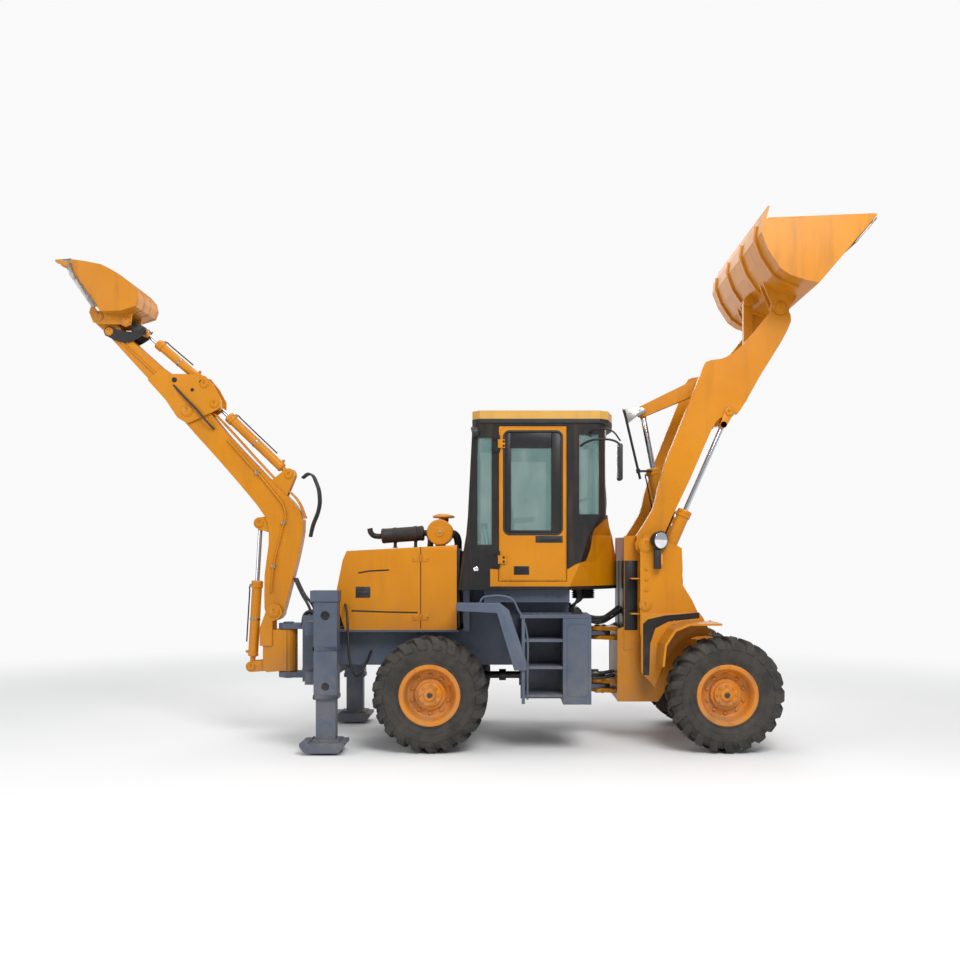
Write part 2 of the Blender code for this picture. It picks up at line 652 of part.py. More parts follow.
def cab_inside():
    floor = CAB_FLOOR + CAB_FLOOR_THICK + SEAT
    piece("seat_base", BLACK, [box((0.02, 0.44), (-0.20, 0.20), (floor, 1.88)),
                               box((-0.02, 0.48), (-0.24, 0.24), (1.86, 1.90))])
    cushion = [(0.00, 1.90 + SEAT), (0.50, 1.90 + SEAT), (0.52, 1.96), (0.50, 2.02), (0.14, 2.02),
               (0.03, 2.58), (-0.07, 2.58), (-0.10, 2.52), (0.00, 1.98)]
    piece("seat_cushion", SEAT_BLACK, [plate(cushion, (-0.24, 0.24))])
    console = [(0.72, floor), (0.93, floor), (0.93, 2.10), (0.86, 2.22), (0.74, 2.16)]
    solids = [plate(console, (-0.20, 0.20))]
    solids.append(bar((0.80, 0, 2.10), (0.70, 0, 2.36), 0.03))
    tilt = Vector((-0.10, 0, 0.26)).normalized()
    hub = Vector((0.70, 0, 2.36))
    rim = bmesh.new()
    bmesh.ops.create_circle(rim, segments=18, radius=0.19)
    turn = Vector((0, 0, 1)).rotation_difference(tilt).to_matrix().to_4x4()
    rim.transform(Matrix.Translation(hub) @ turn)
    ring = [tuple(v.co) for v in rim.verts]
    rim.free()
    solids.append(closed_pipe(ring, 0.014))
    for i in (0, 6, 12):
        solids.append(bar(hub, ring[i], 0.010, sides=10))
    piece("steering_console", BLACK, solids)


def closed_pipe(points, radius):
    curve = bpy.data.curves.new("ring", "CURVE")
    curve.dimensions = "3D"
    curve.bevel_depth = radius
    curve.bevel_resolution = 1
    spline = curve.splines.new("POLY")
    spline.points.add(len(points) - 1)
    for point, place in zip(spline.points, points):
        point.co = (*place, 1)
    spline.use_cyclic_u = True
    return keep_as_solid(evaluated_mesh(bpy.data.objects.new("ring", curve)))


# ---------------------------------------------------------------- side-shift frame and stabilizers
def hoe_frame():
    out = SLEEVE_Y[0] + 0.03
    solids = [box(RAIL_X, (-out, out), RAIL_TOP_Z), box(RAIL_X, (-out, out), RAIL_LOW_Z),
              box((RAIL_X[1] - 0.05, RAIL_X[1] - 0.02), (-out, out), (RAIL_LOW_Z[0], RAIL_TOP_Z[1]))]
    cuts = []
    for side in (-1, 1):
        solids.append(box(SLEEVE_X, lifted(SLEEVE_Y, side), SLEEVE_Z))
        cap_y = lifted((SLEEVE_Y[0] - 0.01, SLEEVE_Y[1] + 0.01), side)
        solids.append(box((SLEEVE_X[0] - 0.03, SLEEVE_X[1] + 0.01), cap_y,
                          (SLEEVE_Z[1] - 0.01, SLEEVE_Z[1] + 0.09)))
        bore_x = (SLEEVE_X[0] + SLEEVE_WALL, SLEEVE_X[1] - SLEEVE_WALL)
        bore_y = lifted((SLEEVE_Y[0] + SLEEVE_WALL, SLEEVE_Y[1] - SLEEVE_WALL), side)
        cuts.append(box(bore_x, bore_y, (SLEEVE_Z[0] + 0.08, SLEEVE_Z[1] - 0.01)))
        collar = RUN - PIN
        cuts.append(box((bore_x[0] + collar, bore_x[1] - collar), (bore_y[0] + collar, bore_y[1] - collar),
                        (SLEEVE_Z[0] - 0.1, SLEEVE_Z[0] + 0.1)))
    piece("hoe_frame", GREY, solids, cuts=cuts)


def stabilizer(name, side):
    inset_by = SLEEVE_WALL + RUN
    leg_x = (SLEEVE_X[0] + inset_by, SLEEVE_X[1] - inset_by)
    leg_y = lifted((SLEEVE_Y[0] + inset_by, SLEEVE_Y[1] - inset_by), side)
    middle = side * (SLEEVE_Y[0] + SLEEVE_Y[1]) / 2
    foot = [(FOOT_X[0], FOOT_BOTTOM + 0.06), (FOOT_X[0] + 0.05, FOOT_BOTTOM), (FOOT_X[1] - 0.05, FOOT_BOTTOM),
            (FOOT_X[1], FOOT_BOTTOM + 0.06), (FOOT_X[1], FOOT_TOP - 0.02), (FOOT_X[0], FOOT_TOP - 0.02)]
    solids = [box(leg_x, leg_y, (FOOT_TOP - 0.06, LEG_TOP)),
              plate(foot, (middle - 0.17, middle + 0.17)),
              box((leg_x[0] - 0.03, leg_x[1] + 0.03), (middle - 0.12, middle + 0.12),
                  (FOOT_TOP - 0.03, FOOT_TOP))]
    piece(name, GREY, solids, pivot=(sum(SLEEVE_X) / 2, middle, SLEEVE_Z[0]))


def carriage():
    half = CARRIAGE_HALF
    plate_x = (RAIL_X[0] - 0.13, RAIL_X[0] - RUN)
    hooks = ((RAIL_TOP_Z[1] + PIN, RAIL_TOP_Z[1] + 0.035), (RAIL_LOW_Z[0] - 0.035, RAIL_LOW_Z[0] - PIN))
    solids = [box(plate_x, (-half, half), (hooks[1][0], hooks[0][1]))]
    solids += [box((plate_x[0], RAIL_X[0] + 0.08), (-half, half), z) for z in hooks]
    for z in LUG_HEIGHTS:
        nose = arc((SWING_X, 0), SWING_RADIUS + 0.01, 90, 270, 8)
        solids.append(plate([(plate_x[0] + 0.01, -0.10), (plate_x[0] + 0.01, 0.10), *nose], z, "plan"))
    low, high = LUG_HEIGHTS[0][0] + 0.01, LUG_HEIGHTS[1][1] - 0.01
    solids.append(bar((SWING_X, 0, low), (SWING_X, 0, high), SWING_PIN_RADIUS, sides=PIVOT_SIDES))
    piece("side_shift_carriage", GREY, solids, pivot=(SWING_X, 0, SWING_Z))


# ---------------------------------------------------------------- hydraulic cylinders
def cylinder(name, base, eye, barrel_length, barrel_radius, rod_radius, inside, carrier,
             y=0, neck=0.10, fork=None):
    """A barrel on its base pin and a rod that slides in it, reaching a length inside.

    The rod's eye is the open end of the linkage. A fork is a pair of distances from y to a cheek's faces.
    """
    length = math.dist(base, eye)

    def spot(distance):
        return along(base, eye, distance)

    head = at(spot(barrel_length), y)
    barrel = [pin(base, (y - EYE_HALF, y + EYE_HALF), 0.05),
              bar(at(spot(0.03), y), at(spot(neck + 0.01), y), EYE_HALF - 0.002),
              bar(at(spot(neck), y), head, barrel_radius, sides=16),
              bar(at(spot(barrel_length - 0.07), y), head, barrel_radius + 0.008, sides=16)]
    cuts = [bar(at(spot(neck + 0.02), y), at(spot(barrel_length + 0.02), y), rod_radius + PIN),
            bore(base, (y - 0.1, y + 0.1), PIN_RADIUS)]
    piece(f"{name}_barrel", YELLOW, barrel, cuts=cuts, pivot=at(base, y), carrier=carrier)
    start = at(spot(barrel_length - inside), y)
    if fork:
        rod = [bar(start, at(spot(length - FORK_REACH), y), rod_radius),
               pin(spot(length - FORK_REACH), (y - fork[1], y + fork[1]), FORK_HEAD_RADIUS)]
        cheek = link_outline(spot(length - FORK_REACH), eye, FORK_HEAD_RADIUS, 0.045)
        for side in (-1, 1):
            rod.append(plate(cheek, tuple(sorted((y + side * fork[0], y + side * fork[1])))))
    else:
        rod = [bar(start, at(spot(length - 0.03), y), rod_radius),
               pin(eye, (y - EYE_HALF + 0.004, y + EYE_HALF - 0.004), 0.045)]
    piece(f"{name}_rod", CHROME, rod, pivot=at(base, y), carrier=f"{name}_barrel")


# ---------------------------------------------------------------- backhoe
def swing_post():
    low, high = LUG_HEIGHTS[0][1] + RUN, LUG_HEIGHTS[1][0] - RUN
    web = [(SWING_X, low + 0.01), (-2.40, 0.655), (-2.44, 0.68), (-2.44, 1.06), (-2.42, high),
           (SWING_X, high - 0.005)]
    solids = [bar((SWING_X, 0, low), (SWING_X, 0, high), SWING_RADIUS, sides=20), plate(web, (-0.10, 0.10))]
    foot = arc(BOOM_FOOT, 0.085, -90, 185, 8)
    foot += [(-2.47, 1.10), (-2.47, 0.92), (-2.345, 0.92), (-2.345, 1.165)]
    base = link_outline((-2.40, 0.72), BOOM_CYL_BASE, 0.055, 0.055)
    for side in (-1, 1):
        solids.append(plate(foot, lifted((0.085, 0.115), side)))
        solids.append(plate(base, lifted((CLEVIS_IN, CLEVIS_OUT), side)))
    hole = bore_radius(SWING_PIN_RADIUS)
    cuts = [bar((SWING_X, 0, low - 0.1), (SWING_X, 0, high + 0.1), hole, sides=PIVOT_SIDES),
            pin(BOOM_FOOT, (-0.085, 0.085), 0.10)]
    obj = piece("swing_post", YELLOW, solids, cuts=cuts, pivot=(SWING_X, 0, SWING_Z),
                carrier="side_shift_carriage")
    join_after(obj, [pivot_pin(BOOM_FOOT, (-0.10, 0.10), BIG_PIN_RADIUS),
                     pivot_pin(BOOM_CYL_BASE, (-0.05, 0.05))])


def join_after(obj, solids):
    """Joins solids once the cuts are made, such as a pin across a cut slot."""
    for solid in solids:
        modifier = obj.modifiers.new("union", "BOOLEAN")
        modifier.operation = "UNION"
        modifier.solver = "EXACT"
        modifier.object = solid


def boom():
    left = smooth([(-2.43, 1.30), (-2.429, 1.635), (-2.389, 1.937), (-2.399, 2.159), (-2.47, 2.29),
                   (-2.57, 2.421), (-2.873, 2.774), (-3.13, 3.06)], 2)
    right = smooth([(-3.02, 3.33), (-2.80, 3.05), (-2.491, 2.722), (-2.30, 2.52), (-2.13, 2.36),
                    (-2.04, 2.19), (-2.066, 1.937), (-2.137, 1.635), (-2.225, 1.30)], 2)
    nose = arc(BOOM_NOSE, 0.10, 200, 50, 6)
    foot = arc(BOOM_FOOT, 0.09, -30, -150, 5)
    outline = left + nose + right + foot
    beam = plate(outline, (-0.075, 0.075))
    lug = link_outline((-2.34, 2.45), STICK_CYL_BASE, 0.13, 0.065)
    rod_lug = link_outline((-2.40, 2.15), BOOM_CYL_EYE, 0.08, 0.06)
    solids = [beam]
    for side in (-1, 1):
        solids.append(plate(lug, lifted((CLEVIS_IN, CLEVIS_OUT), side)))
        solids.append(plate(rod_lug, lifted((CLEVIS_IN, CLEVIS_OUT), side)))
    cuts = [pin(STICK_CYL_BASE, (-CLEVIS_IN, CLEVIS_IN), 0.075),
            pin(BOOM_CYL_EYE, (-CLEVIS_IN, CLEVIS_IN), 0.085),
            bore(BOOM_FOOT, (-0.2, 0.2), BIG_PIN_RADIUS), bore(BOOM_NOSE, (-0.2, 0.2), BIG_PIN_RADIUS)]
    obj = piece("boom", YELLOW, solids, cuts=cuts, pivot=at(BOOM_FOOT), carrier="swing_post")
    join_after(obj, [pivot_pin(STICK_CYL_BASE, (-0.05, 0.05))])


def stick():
    """The stick's box beam, with two ear plates that straddle the boom's nose."""
    beam = [(-4.045, 4.10), (-3.586, 3.60), (-3.44, 3.44), (-3.27, 3.48), (-3.36, 3.66), (-3.485, 3.745),
            (-3.79, 4.02), (-3.98, 4.22)]
    ear = [(-3.60, 3.60), (-3.42, 3.40), (-3.30, 3.22), (-3.20, 3.16), (-3.09, 3.21), (-2.94, 3.28),
           (-2.86, 3.33), (-2.86, 3.40), (-2.93, 3.53), (-3.02, 3.64), (-3.14, 3.66), (-3.35, 3.66),
           (-3.46, 3.72)]
    tip = link_outline((-3.93, 4.08), STICK_TIP, 0.07, 0.075)
    solids = [plate(beam, (-0.085, 0.085)), plate(tip, (-0.080, 0.080))]
    for side in (-1, 1):
        solids.append(plate(ear, lifted((0.081, 0.105), side)))
        solids.append(pin(STICK_CYL_EYE, lifted((0.036, 0.09), side), 0.055))
        solids.append(pin(BUCKET_CYL_BASE, lifted((0.036, 0.09), side), 0.055))
    solids.append(pivot_pin(BUCKET_CYL_BASE, (-0.10, 0.10)))
    solids.append(pivot_pin(BOOM_NOSE, (-0.10, 0.10), BIG_PIN_RADIUS))
    solids.append(pivot_pin(ROCKER_FOOT, (-0.115, 0.115)))
    cuts = [bore(STICK_TIP, (-0.2, 0.2), BIG_PIN_RADIUS)]
    piece("stick", YELLOW, solids, cuts=cuts, pivot=at(BOOM_NOSE), carrier="boom")


def hoe_bucket():
    outline = [(-4.001, 4.246), (-4.278, 4.622), (-4.298, 4.76), (-4.15, 4.74), (-4.00, 4.71),
               (-3.903, 4.661), (-3.804, 4.602), (-3.705, 4.523), (-3.646, 4.454), (-3.626, 4.375),
               (-3.655, 4.296), (-3.80, 4.25)]
    mouth_edges = 2
    sheet, half = HOE_SHEET, HOE_WIDTH / 2
    walls = [-0.05] * mouth_edges + [sheet] * (len(outline) - mouth_edges)
    ear = [(-4.13, 4.17), (-4.03, 4.15), (-3.86, 4.15), (-3.81, 4.125), (-3.755, 4.145),
           (-3.74, 4.30), (-3.72, 4.40), (-3.90, 4.45), (-4.12, 4.44), (-4.17, 4.27)]
    solids = [plate(outline, (-half, half))]
    solids += [plate(ear, lifted(HOE_EAR_Y, side)) for side in (-1, 1)]
    cuts = [plate(inset(outline, walls), (-half + sheet, half - sheet)),
            pin(STICK_TIP, (-HOE_EAR_Y[0] + 0.01, HOE_EAR_Y[0] - 0.01), 0.105)]
    across = (-HOE_EAR_Y[0] - 0.01, HOE_EAR_Y[0] + 0.01)
    after = [pivot_pin(STICK_TIP, across, BIG_PIN_RADIUS), pivot_pin(BUCKET_EAR, across, 0.02)]
    tooth = [(-4.30, 4.765), (-4.446, 4.755), (-4.446, 4.735), (-4.27, 4.675), (-4.22, 4.72)]
    for i in range(HOE_TEETH):
        y = (i / (HOE_TEETH - 1) - 0.5) * (HOE_WIDTH - 0.08)
        after.append(plate(tooth, (y - 0.035, y + 0.035)))
    join_after(piece("hoe_bucket", YELLOW, solids, cuts=cuts, pivot=at(STICK_TIP), carrier="stick"), after)
    link = [pin(BUCKET_EAR, (-0.118, 0.118), 0.042)]
    for side in (-1, 1):
        cheek = link_outline(BUCKET_EAR, BUCKET_CYL_EYE, 0.042, 0.045)
        link.append(plate(cheek, lifted((0.040, 0.075), side)))
    piece("hoe_link", DARK_STEEL, link, cuts=[bore(BUCKET_EAR, (-0.2, 0.2), 0.02)],
          pivot=at(BUCKET_EAR), carrier="hoe_bucket")


def hoe_rocker(name, side):
    """The curved arm on one side of the stick, from the stick to the rod's eye."""
    low = smooth([(-3.99, 4.03), (-3.90, 3.99), (-3.78, 3.98), (-3.66, 4.05)], 2)
    high = smooth([(-3.62, 4.13), (-3.76, 4.085), (-3.88, 4.10), (-3.98, 4.14)], 2)
    outline = low + high + arc(ROCKER_FOOT, 0.055, 90, 270, 4)
    piece(name, BLACK, [plate(outline, lifted((0.094, 0.112), side))],
          cuts=[bore(ROCKER_FOOT, (-0.2, 0.2), PIN_RADIUS)], pivot=at(ROCKER_FOOT), carrier="stick")


# ---------------------------------------------------------------- front frame
def front_frame():
    solids = []
    tower = [(1.30, 1.07), (1.30, 1.90), (1.34, 2.03), (1.42, 2.03), (1.70, 1.90), (1.71, 1.69), (1.70, 1.56),
             (1.80, 1.40), (1.87, 1.25), (1.97, 1.07)]
    body = [(1.10, 0.40), (1.10, 1.10), (1.30, 1.20), (1.60, 1.16), (1.80, 1.02), (2.40, 0.95),
            (2.40, FRAME_BOTTOM), (1.72, FRAME_BOTTOM), (1.50, 0.40)]
    inner_tower = [(1.165, 0.9), (1.165, 2.02), (1.42, 2.03), (1.70, 1.92), (1.74, 1.60), (1.74, 1.0)]
    fender = [(1.45, 0.80), (1.47, 1.00), (1.56, 1.14), (1.70, 1.20), (2.00, 1.20), (2.00, 1.18),
              (1.71, 1.18), (1.575, 1.125), (1.49, 0.99), (1.47, 0.80)]
    pin_y = (TOWER_IN[0] + LAP * 2, TOWER_OUT[1] - LAP)
    spacers = ((TOWER_IN[1] - LAP, LIFT_CYL_Y - CLEVIS_IN), (LIFT_CYL_Y + CLEVIS_IN, TOWER_OUT[0] + LAP))
    for side in (-1, 1):
        solids.append(plate(tower, lifted(TOWER_OUT, side)))
        solids.append(plate(inner_tower, lifted(TOWER_IN, side)))
        solids.append(plate(body, lifted((TOWER_IN[0] - 0.01, TOWER_IN[1] - LAP), side)))
        solids.append(box((1.31, 1.50), lifted((TOWER_IN[0] + LAP, TOWER_OUT[1] - LAP), side), (0.99, 1.12)))
        solids.append(pivot_pin(ARM_FOOT, lifted(pin_y, side), ARM_PIN_RADIUS))
        solids.append(pivot_pin(LIFT_CYL_BASE, lifted(pin_y, side)))
        solids += [pin(LIFT_CYL_BASE, lifted(spacer, side), 0.05) for spacer in spacers]
        solids.append(plate(fender, lifted((TOWER_OUT[0] + LAP, FRONT_FENDER_OUT), side)))
    across = (-TOWER_IN[0] - LAP, TOWER_IN[0] + LAP)
    solids.append(box((1.104, 1.134), across, (0.404, 1.093)))
    solids.append(box((1.171, 1.196), across, (0.955, 2.010)))
    solids.append(box((1.12, 1.30), across, (1.062, 1.096)))
    solids.append(box((1.715, 2.39), across, (0.80, 0.84)))
    solids.append(box((1.12, 1.712), across, (0.695, 0.733)))
    solids.append(box((2.355, 2.395), across, (0.745, 0.945)))
    solids.append(pin((1.60, 1.70), across, 0.06))
    tilt_lug = link_outline((1.60, 1.70), TILT_CYL_BASE, 0.08, 0.06)
    for side in (-1, 1):
        solids.append(plate(tilt_lug, lifted((CLEVIS_IN, CLEVIS_OUT), side)))
    for z in HITCH_HEIGHTS:
        for low, high in ((z[0] - 0.045, z[0] - RUN), (z[1] + RUN, z[1] + 0.045)):
            solids.append(hitch_lug((low, high), 1.12, 0.20))
    cuts = [pin(TILT_CYL_BASE, (-CLEVIS_IN, CLEVIS_IN), 0.065)]
    obj = piece("front_frame", YELLOW, solids, cuts=cuts, pivot=(PIVOT_X, 0, 0.785))
    after = [pivot_pin(TILT_CYL_BASE, (-0.05, 0.05))]
    for z in HITCH_HEIGHTS:
        low, high = (PIVOT_X, 0, z[0] - 0.04), (PIVOT_X, 0, z[1] + 0.04)
        after.append(bar(low, high, HITCH_PIN_RADIUS, sides=PIVOT_SIDES))
    join_after(obj, after)


# ---------------------------------------------------------------- loader
def loader_arms():
    left = smooth([(1.27, 2.02), (1.427, 2.272), (1.476, 2.466), (1.554, 2.738), (1.622, 2.903),
                   (1.699, 3.097), (1.796, 3.34), (1.893, 3.582), (1.942, 3.699), (2.039, 3.725),
                   (2.136, 3.747), (2.292, 3.86), (2.45, 4.04), (2.575, 4.20)], 2)
    right = smooth([(2.745, 4.19), (2.767, 4.097), (2.67, 3.893), (2.476, 3.582), (2.33, 3.32),
                    (2.25, 3.20)], 2)
    inner = smooth([(2.10, 3.16), (2.068, 3.15), (1.99, 3.029), (1.796, 2.582), (1.602, 2.174),
                    (1.46, 1.86)], 2)
    outline = (left + arc(ARM_TIP, 0.09, 150, 0, 5) + right + arc(LIFT_CYL_EYE, 0.055, 0, -150, 5) + inner
               + arc(ARM_FOOT, 0.10, -40, -215, 6))
    solids = [plate(outline, lifted(ARM_Y, side)) for side in (-1, 1)]
    solids.insert(1, pin(CROSS_TUBE, (-ARM_Y[0] - 0.02, ARM_Y[0] + 0.02), 0.07, sides=16))
    lug = link_outline(CROSS_TUBE, CRANK_PIVOT, 0.085, 0.065)
    for side in (-1, 1):
        solids.append(plate(lug, lifted((0.068, 0.092), side)))
    solids.append(pivot_pin(CRANK_PIVOT, (-0.08, 0.08), BIG_PIN_RADIUS))
    cuts = []
    for side in (-1, 1):
        span = lifted((ARM_Y[0] - 0.05, ARM_Y[1] + 0.05), side)
        cuts.append(bore(ARM_FOOT, span, ARM_PIN_RADIUS))
        cuts.append(bore(ARM_TIP, span, BIG_PIN_RADIUS))
    piece("loader_arms", YELLOW, solids, cuts=cuts, pivot=at(ARM_FOOT), carrier="front_frame")


def bell_crank():
    solids = [pin(CRANK_PIVOT, (-CRANK_Y[1], CRANK_Y[1]), 0.06, sides=16)]
    for side in (-1, 1):
        for end in (TILT_CYL_EYE, CRANK_FRONT):
            solids.append(plate(link_outline(CRANK_PIVOT, end, 0.075, 0.055), lifted(CRANK_Y, side)))
            solids.append(pin(end, lifted((CRANK_Y[0] + 0.01, CRANK_Y[1] + 0.008), side), 0.035))
    piece("bell_crank", YELLOW, solids, cuts=[bore(CRANK_PIVOT, (-0.2, 0.2), BIG_PIN_RADIUS)],
          pivot=at(CRANK_PIVOT), carrier="loader_arms")


def loader_bucket():
    outline = [(2.342, 4.893), (2.333, 4.775), (2.397, 4.611), (2.506, 4.447), (2.597, 4.383), (2.734, 4.337),
               (2.861, 4.310), (3.399, 4.939)]
    sheet, half = BUCKET_SHEET, BUCKET_WIDTH / 2
    walls = [sheet] * (len(outline) - 1) + [-0.05]
    solids = [plate(outline, (-half, half))]
    lug = arc(ARM_TIP, 0.075, 190, 340, 6) + [(2.87, 4.40), (2.48, 4.50), (2.50, 4.42)]
    ear = arc(LOADER_EAR, 0.05, 130, 290, 6) + [(2.60, 4.42), (2.52, 4.53)]
    for side in (-1, 1):
        for span in ((ARM_Y[0] - 0.030, ARM_Y[0] - RUN), (ARM_Y[1] + RUN, ARM_Y[1] + 0.030)):
            solids.append(plate(lug, lifted(span, side)))
        solids.append(plate(ear, lifted((CLEVIS_IN, CLEVIS_OUT), side)))
    cuts = [plate(inset(outline, walls), (-half + sheet, half - sheet))]
    after = [plate([(2.344, 4.86), (2.366, 4.85), (2.412, 5.01), (2.395, 5.012)], (-half, half)),
             pivot_pin(LOADER_EAR, (-0.05, 0.05))]
    for side in (-1, 1):
        after.append(pivot_pin(ARM_TIP, lifted((ARM_Y[0] - 0.02, ARM_Y[1] + 0.02), side), BIG_PIN_RADIUS))
    obj = piece("loader_bucket", YELLOW, solids, cuts=cuts, pivot=at(ARM_TIP), carrier="loader_arms")
    join_after(obj, after)
    link = [plate(link_outline(LOADER_EAR, CRANK_FRONT, 0.045, 0.05), (-EYE_HALF, EYE_HALF))]
    piece("loader_link", YELLOW, link, cuts=[bore(LOADER_EAR, (-0.1, 0.1), PIN_RADIUS)],
          pivot=at(LOADER_EAR), carrier="loader_bucket")


def centre_machine():
    """Puts the middle of the machine's box over the origin."""
    bpy.context.view_layer.update()
    graph = bpy.context.evaluated_depsgraph_get()
    xs = [(obj.matrix_world @ Vector(corner)).x for obj in MACHINE.objects if obj.type == "MESH"
          for corner in obj.evaluated_get(graph).bound_box]
    ROOT.location.x = -(min(xs) + max(xs)) / 2


def main():
    rear_chassis()
    axle("rear_axle", REAR_AXLE_X, CHASSIS_BOTTOM, (0.36, 0.43))
    for side, word in ((-1, "right"), (1, "left")):
        step_box(f"{word}_step_box", side)
    engine_hood()
    muffler()
    air_cleaner()
    cab()
    cab_inside()
    for side, word in ((-1, "right"), (1, "left")):
        door(word, side)
    hoe_frame()
    for side, word in ((-1, "right"), (1, "left")):
        stabilizer(f"{word}_stabilizer", side)
    carriage()
    swing_post()
    boom()
    stick()
    hoe_bucket()
    for side, word in ((-1, "right"), (1, "left")):
        hoe_rocker(f"{word}_hoe_rocker", side)
    cylinder("boom_cylinder", BOOM_CYL_BASE, BOOM_CYL_EYE, 0.87, 0.050, 0.022, 0.18, "swing_post")
    cylinder("stick_cylinder", STICK_CYL_BASE, STICK_CYL_EYE, 0.86, 0.048, 0.022, 0.45, "boom")
    cylinder("hoe_bucket_cylinder", BUCKET_CYL_BASE, BUCKET_CYL_EYE, 0.66, 0.044, 0.022, 0.52, "stick")
    front_frame()
    axle("front_axle", FRONT_AXLE_X, FRAME_BOTTOM, (0.28, 0.385))
    for side, word in ((-1, "right"), (1, "left")):
        wheel(f"rear_{word}", REAR_AXLE_X, side, None)
        wheel(f"front_{word}", FRONT_AXLE_X, side, "front_frame")
    loader_arms()
    bell_crank()
    loader_bucket()
    arm_middle = sum(ARM_Y) / 2
    for side, word in ((-1, "right"), (1, "left")):
        cylinder(f"{word}_lift_cylinder", LIFT_CYL_BASE, LIFT_CYL_EYE, 1.00, 0.062, 0.024, 0.04,
                 "front_frame", y=side * arm_middle, neck=0.07, fork=(0.046, 0.064))
    cylinder("tilt_cylinder", TILT_CYL_BASE, TILT_CYL_EYE, 0.90, 0.068, 0.028, 0.40, "front_frame")
    for obj in MACHINE.objects:
        if obj.type == "MESH" and obj.parent is None:
            obj.parent = ROOT
    centre_machine()


main()
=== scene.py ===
import math
import bmesh
import bpy
from mathutils import Matrix, Vector


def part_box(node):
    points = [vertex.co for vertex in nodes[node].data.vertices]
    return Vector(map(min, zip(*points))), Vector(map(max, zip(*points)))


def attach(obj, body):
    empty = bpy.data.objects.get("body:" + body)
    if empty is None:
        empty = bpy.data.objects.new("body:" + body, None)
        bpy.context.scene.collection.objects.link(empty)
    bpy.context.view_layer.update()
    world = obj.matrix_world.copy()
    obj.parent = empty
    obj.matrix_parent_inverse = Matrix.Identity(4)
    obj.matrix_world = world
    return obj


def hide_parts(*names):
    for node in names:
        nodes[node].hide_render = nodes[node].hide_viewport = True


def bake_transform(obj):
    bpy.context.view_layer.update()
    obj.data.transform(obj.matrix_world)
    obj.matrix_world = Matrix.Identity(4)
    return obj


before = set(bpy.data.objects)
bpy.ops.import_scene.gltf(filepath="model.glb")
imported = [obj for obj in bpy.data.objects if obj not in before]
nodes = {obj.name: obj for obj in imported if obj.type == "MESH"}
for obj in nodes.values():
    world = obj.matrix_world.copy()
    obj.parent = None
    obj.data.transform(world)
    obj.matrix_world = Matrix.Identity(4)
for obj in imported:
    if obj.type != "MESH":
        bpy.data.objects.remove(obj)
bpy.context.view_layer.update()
frontWheelAhead = 2.05          # front axle, measured from the machine's own origin
originX = sum(c.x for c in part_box("front_right_tyre")) / 2 - frontWheelAhead
print("frame loaded")


def at(x, y, z):
    return Vector((x + originX, y, z))


def xSpan(low, high):
    return (low + originX, high + originX)


def inWorld(outline):
    return [(x + originX, z) for x, z in outline]


# camera and studio
studio = {"cameraPlace": (0.0, -10.2, 1.786), "lens": 37.58, "shift": (-0.026, 0.0833),
          "world": (0.93, 0.95, 1.0), "worldStrength": 0.44, "backdrop": 0.95,
          "fadeAt": 8.0, "fadeSoft": 3.5, "floorSize": 60, "floor": (0.86, 0.86, 0.85)}

camera = bpy.data.cameras.new("camera")
camera.lens = studio["lens"]
camera.sensor_width = 36
camera.shift_x, camera.shift_y = studio["shift"]
camera.clip_end = 200
cameraObject = bpy.data.objects.new("camera", camera)
bpy.context.scene.collection.objects.link(cameraObject)
cameraObject.location = at(*studio["cameraPlace"])
cameraObject.rotation_euler = (math.pi / 2, 0, 0)
bpy.context.scene.camera = cameraObject

lamps = {"key": ((3.5, -8.0, 9.0), (0.6, 0.0, 1.6), 5.0, 880),
         "fill": ((-9.0, -7.0, 5.0), (0.0, 0.0, 1.5), 6.0, 300),
         "top": ((-1.0, 1.0, 11.0), (0.3, 0.0, 1.0), 7.0, 380),
         "back": ((2.0, 9.0, 6.0), (0.3, 0.0, 1.6), 6.0, 260)}
for lampName, (place, target, size, power) in lamps.items():
    lamp = bpy.data.lights.new(lampName, "AREA")
    lamp.size = size
    lamp.energy = power
    lampObject = bpy.data.objects.new(lampName, lamp)
    lampObject.location = place
    lampObject.rotation_euler = (Vector(target) - Vector(place)).to_track_quat("-Z", "Y").to_euler()
    bpy.context.scene.collection.objects.link(lampObject)


# shader maths: a Wire is one socket, and a Finish builds one material
class Wire:
    def __init__(self, finish, socket):
        self.finish = finish
        self.socket = socket

    def join(self, operation, left, right=0.0, clamp=False):
        settings = {"operation": operation, "use_clamp": clamp}
        return self.finish.node("ShaderNodeMath", settings, {0: left, 1: right})

    def __add__(self, other):
        return self.join("ADD", self, other)

    def __radd__(self, other):
        return self.join("ADD", other, self)

    def __sub__(self, other):
        return self.join("SUBTRACT", self, other)

    def __rsub__(self, other):
        return self.join("SUBTRACT", other, self)

    def __mul__(self, other):
        return self.join("MULTIPLY", self, other)

    def __rmul__(self, other):
        return self.join("MULTIPLY", other, self)

    def __pow__(self, other):
        return self.join("POWER", self, other)

    def above(self, level, soft=0.05):
        settings = {"interpolation_type": "SMOOTHSTEP", "clamp": True}
        return self.finish.node("ShaderNodeMapRange", settings,
                                {0: self, 1: level - soft, 2: level + soft})

    def clamped(self):
        return self.join("MULTIPLY", self, 1.0, clamp=True)

    def highest(self, other):
        return self.join("MAXIMUM", self, other)


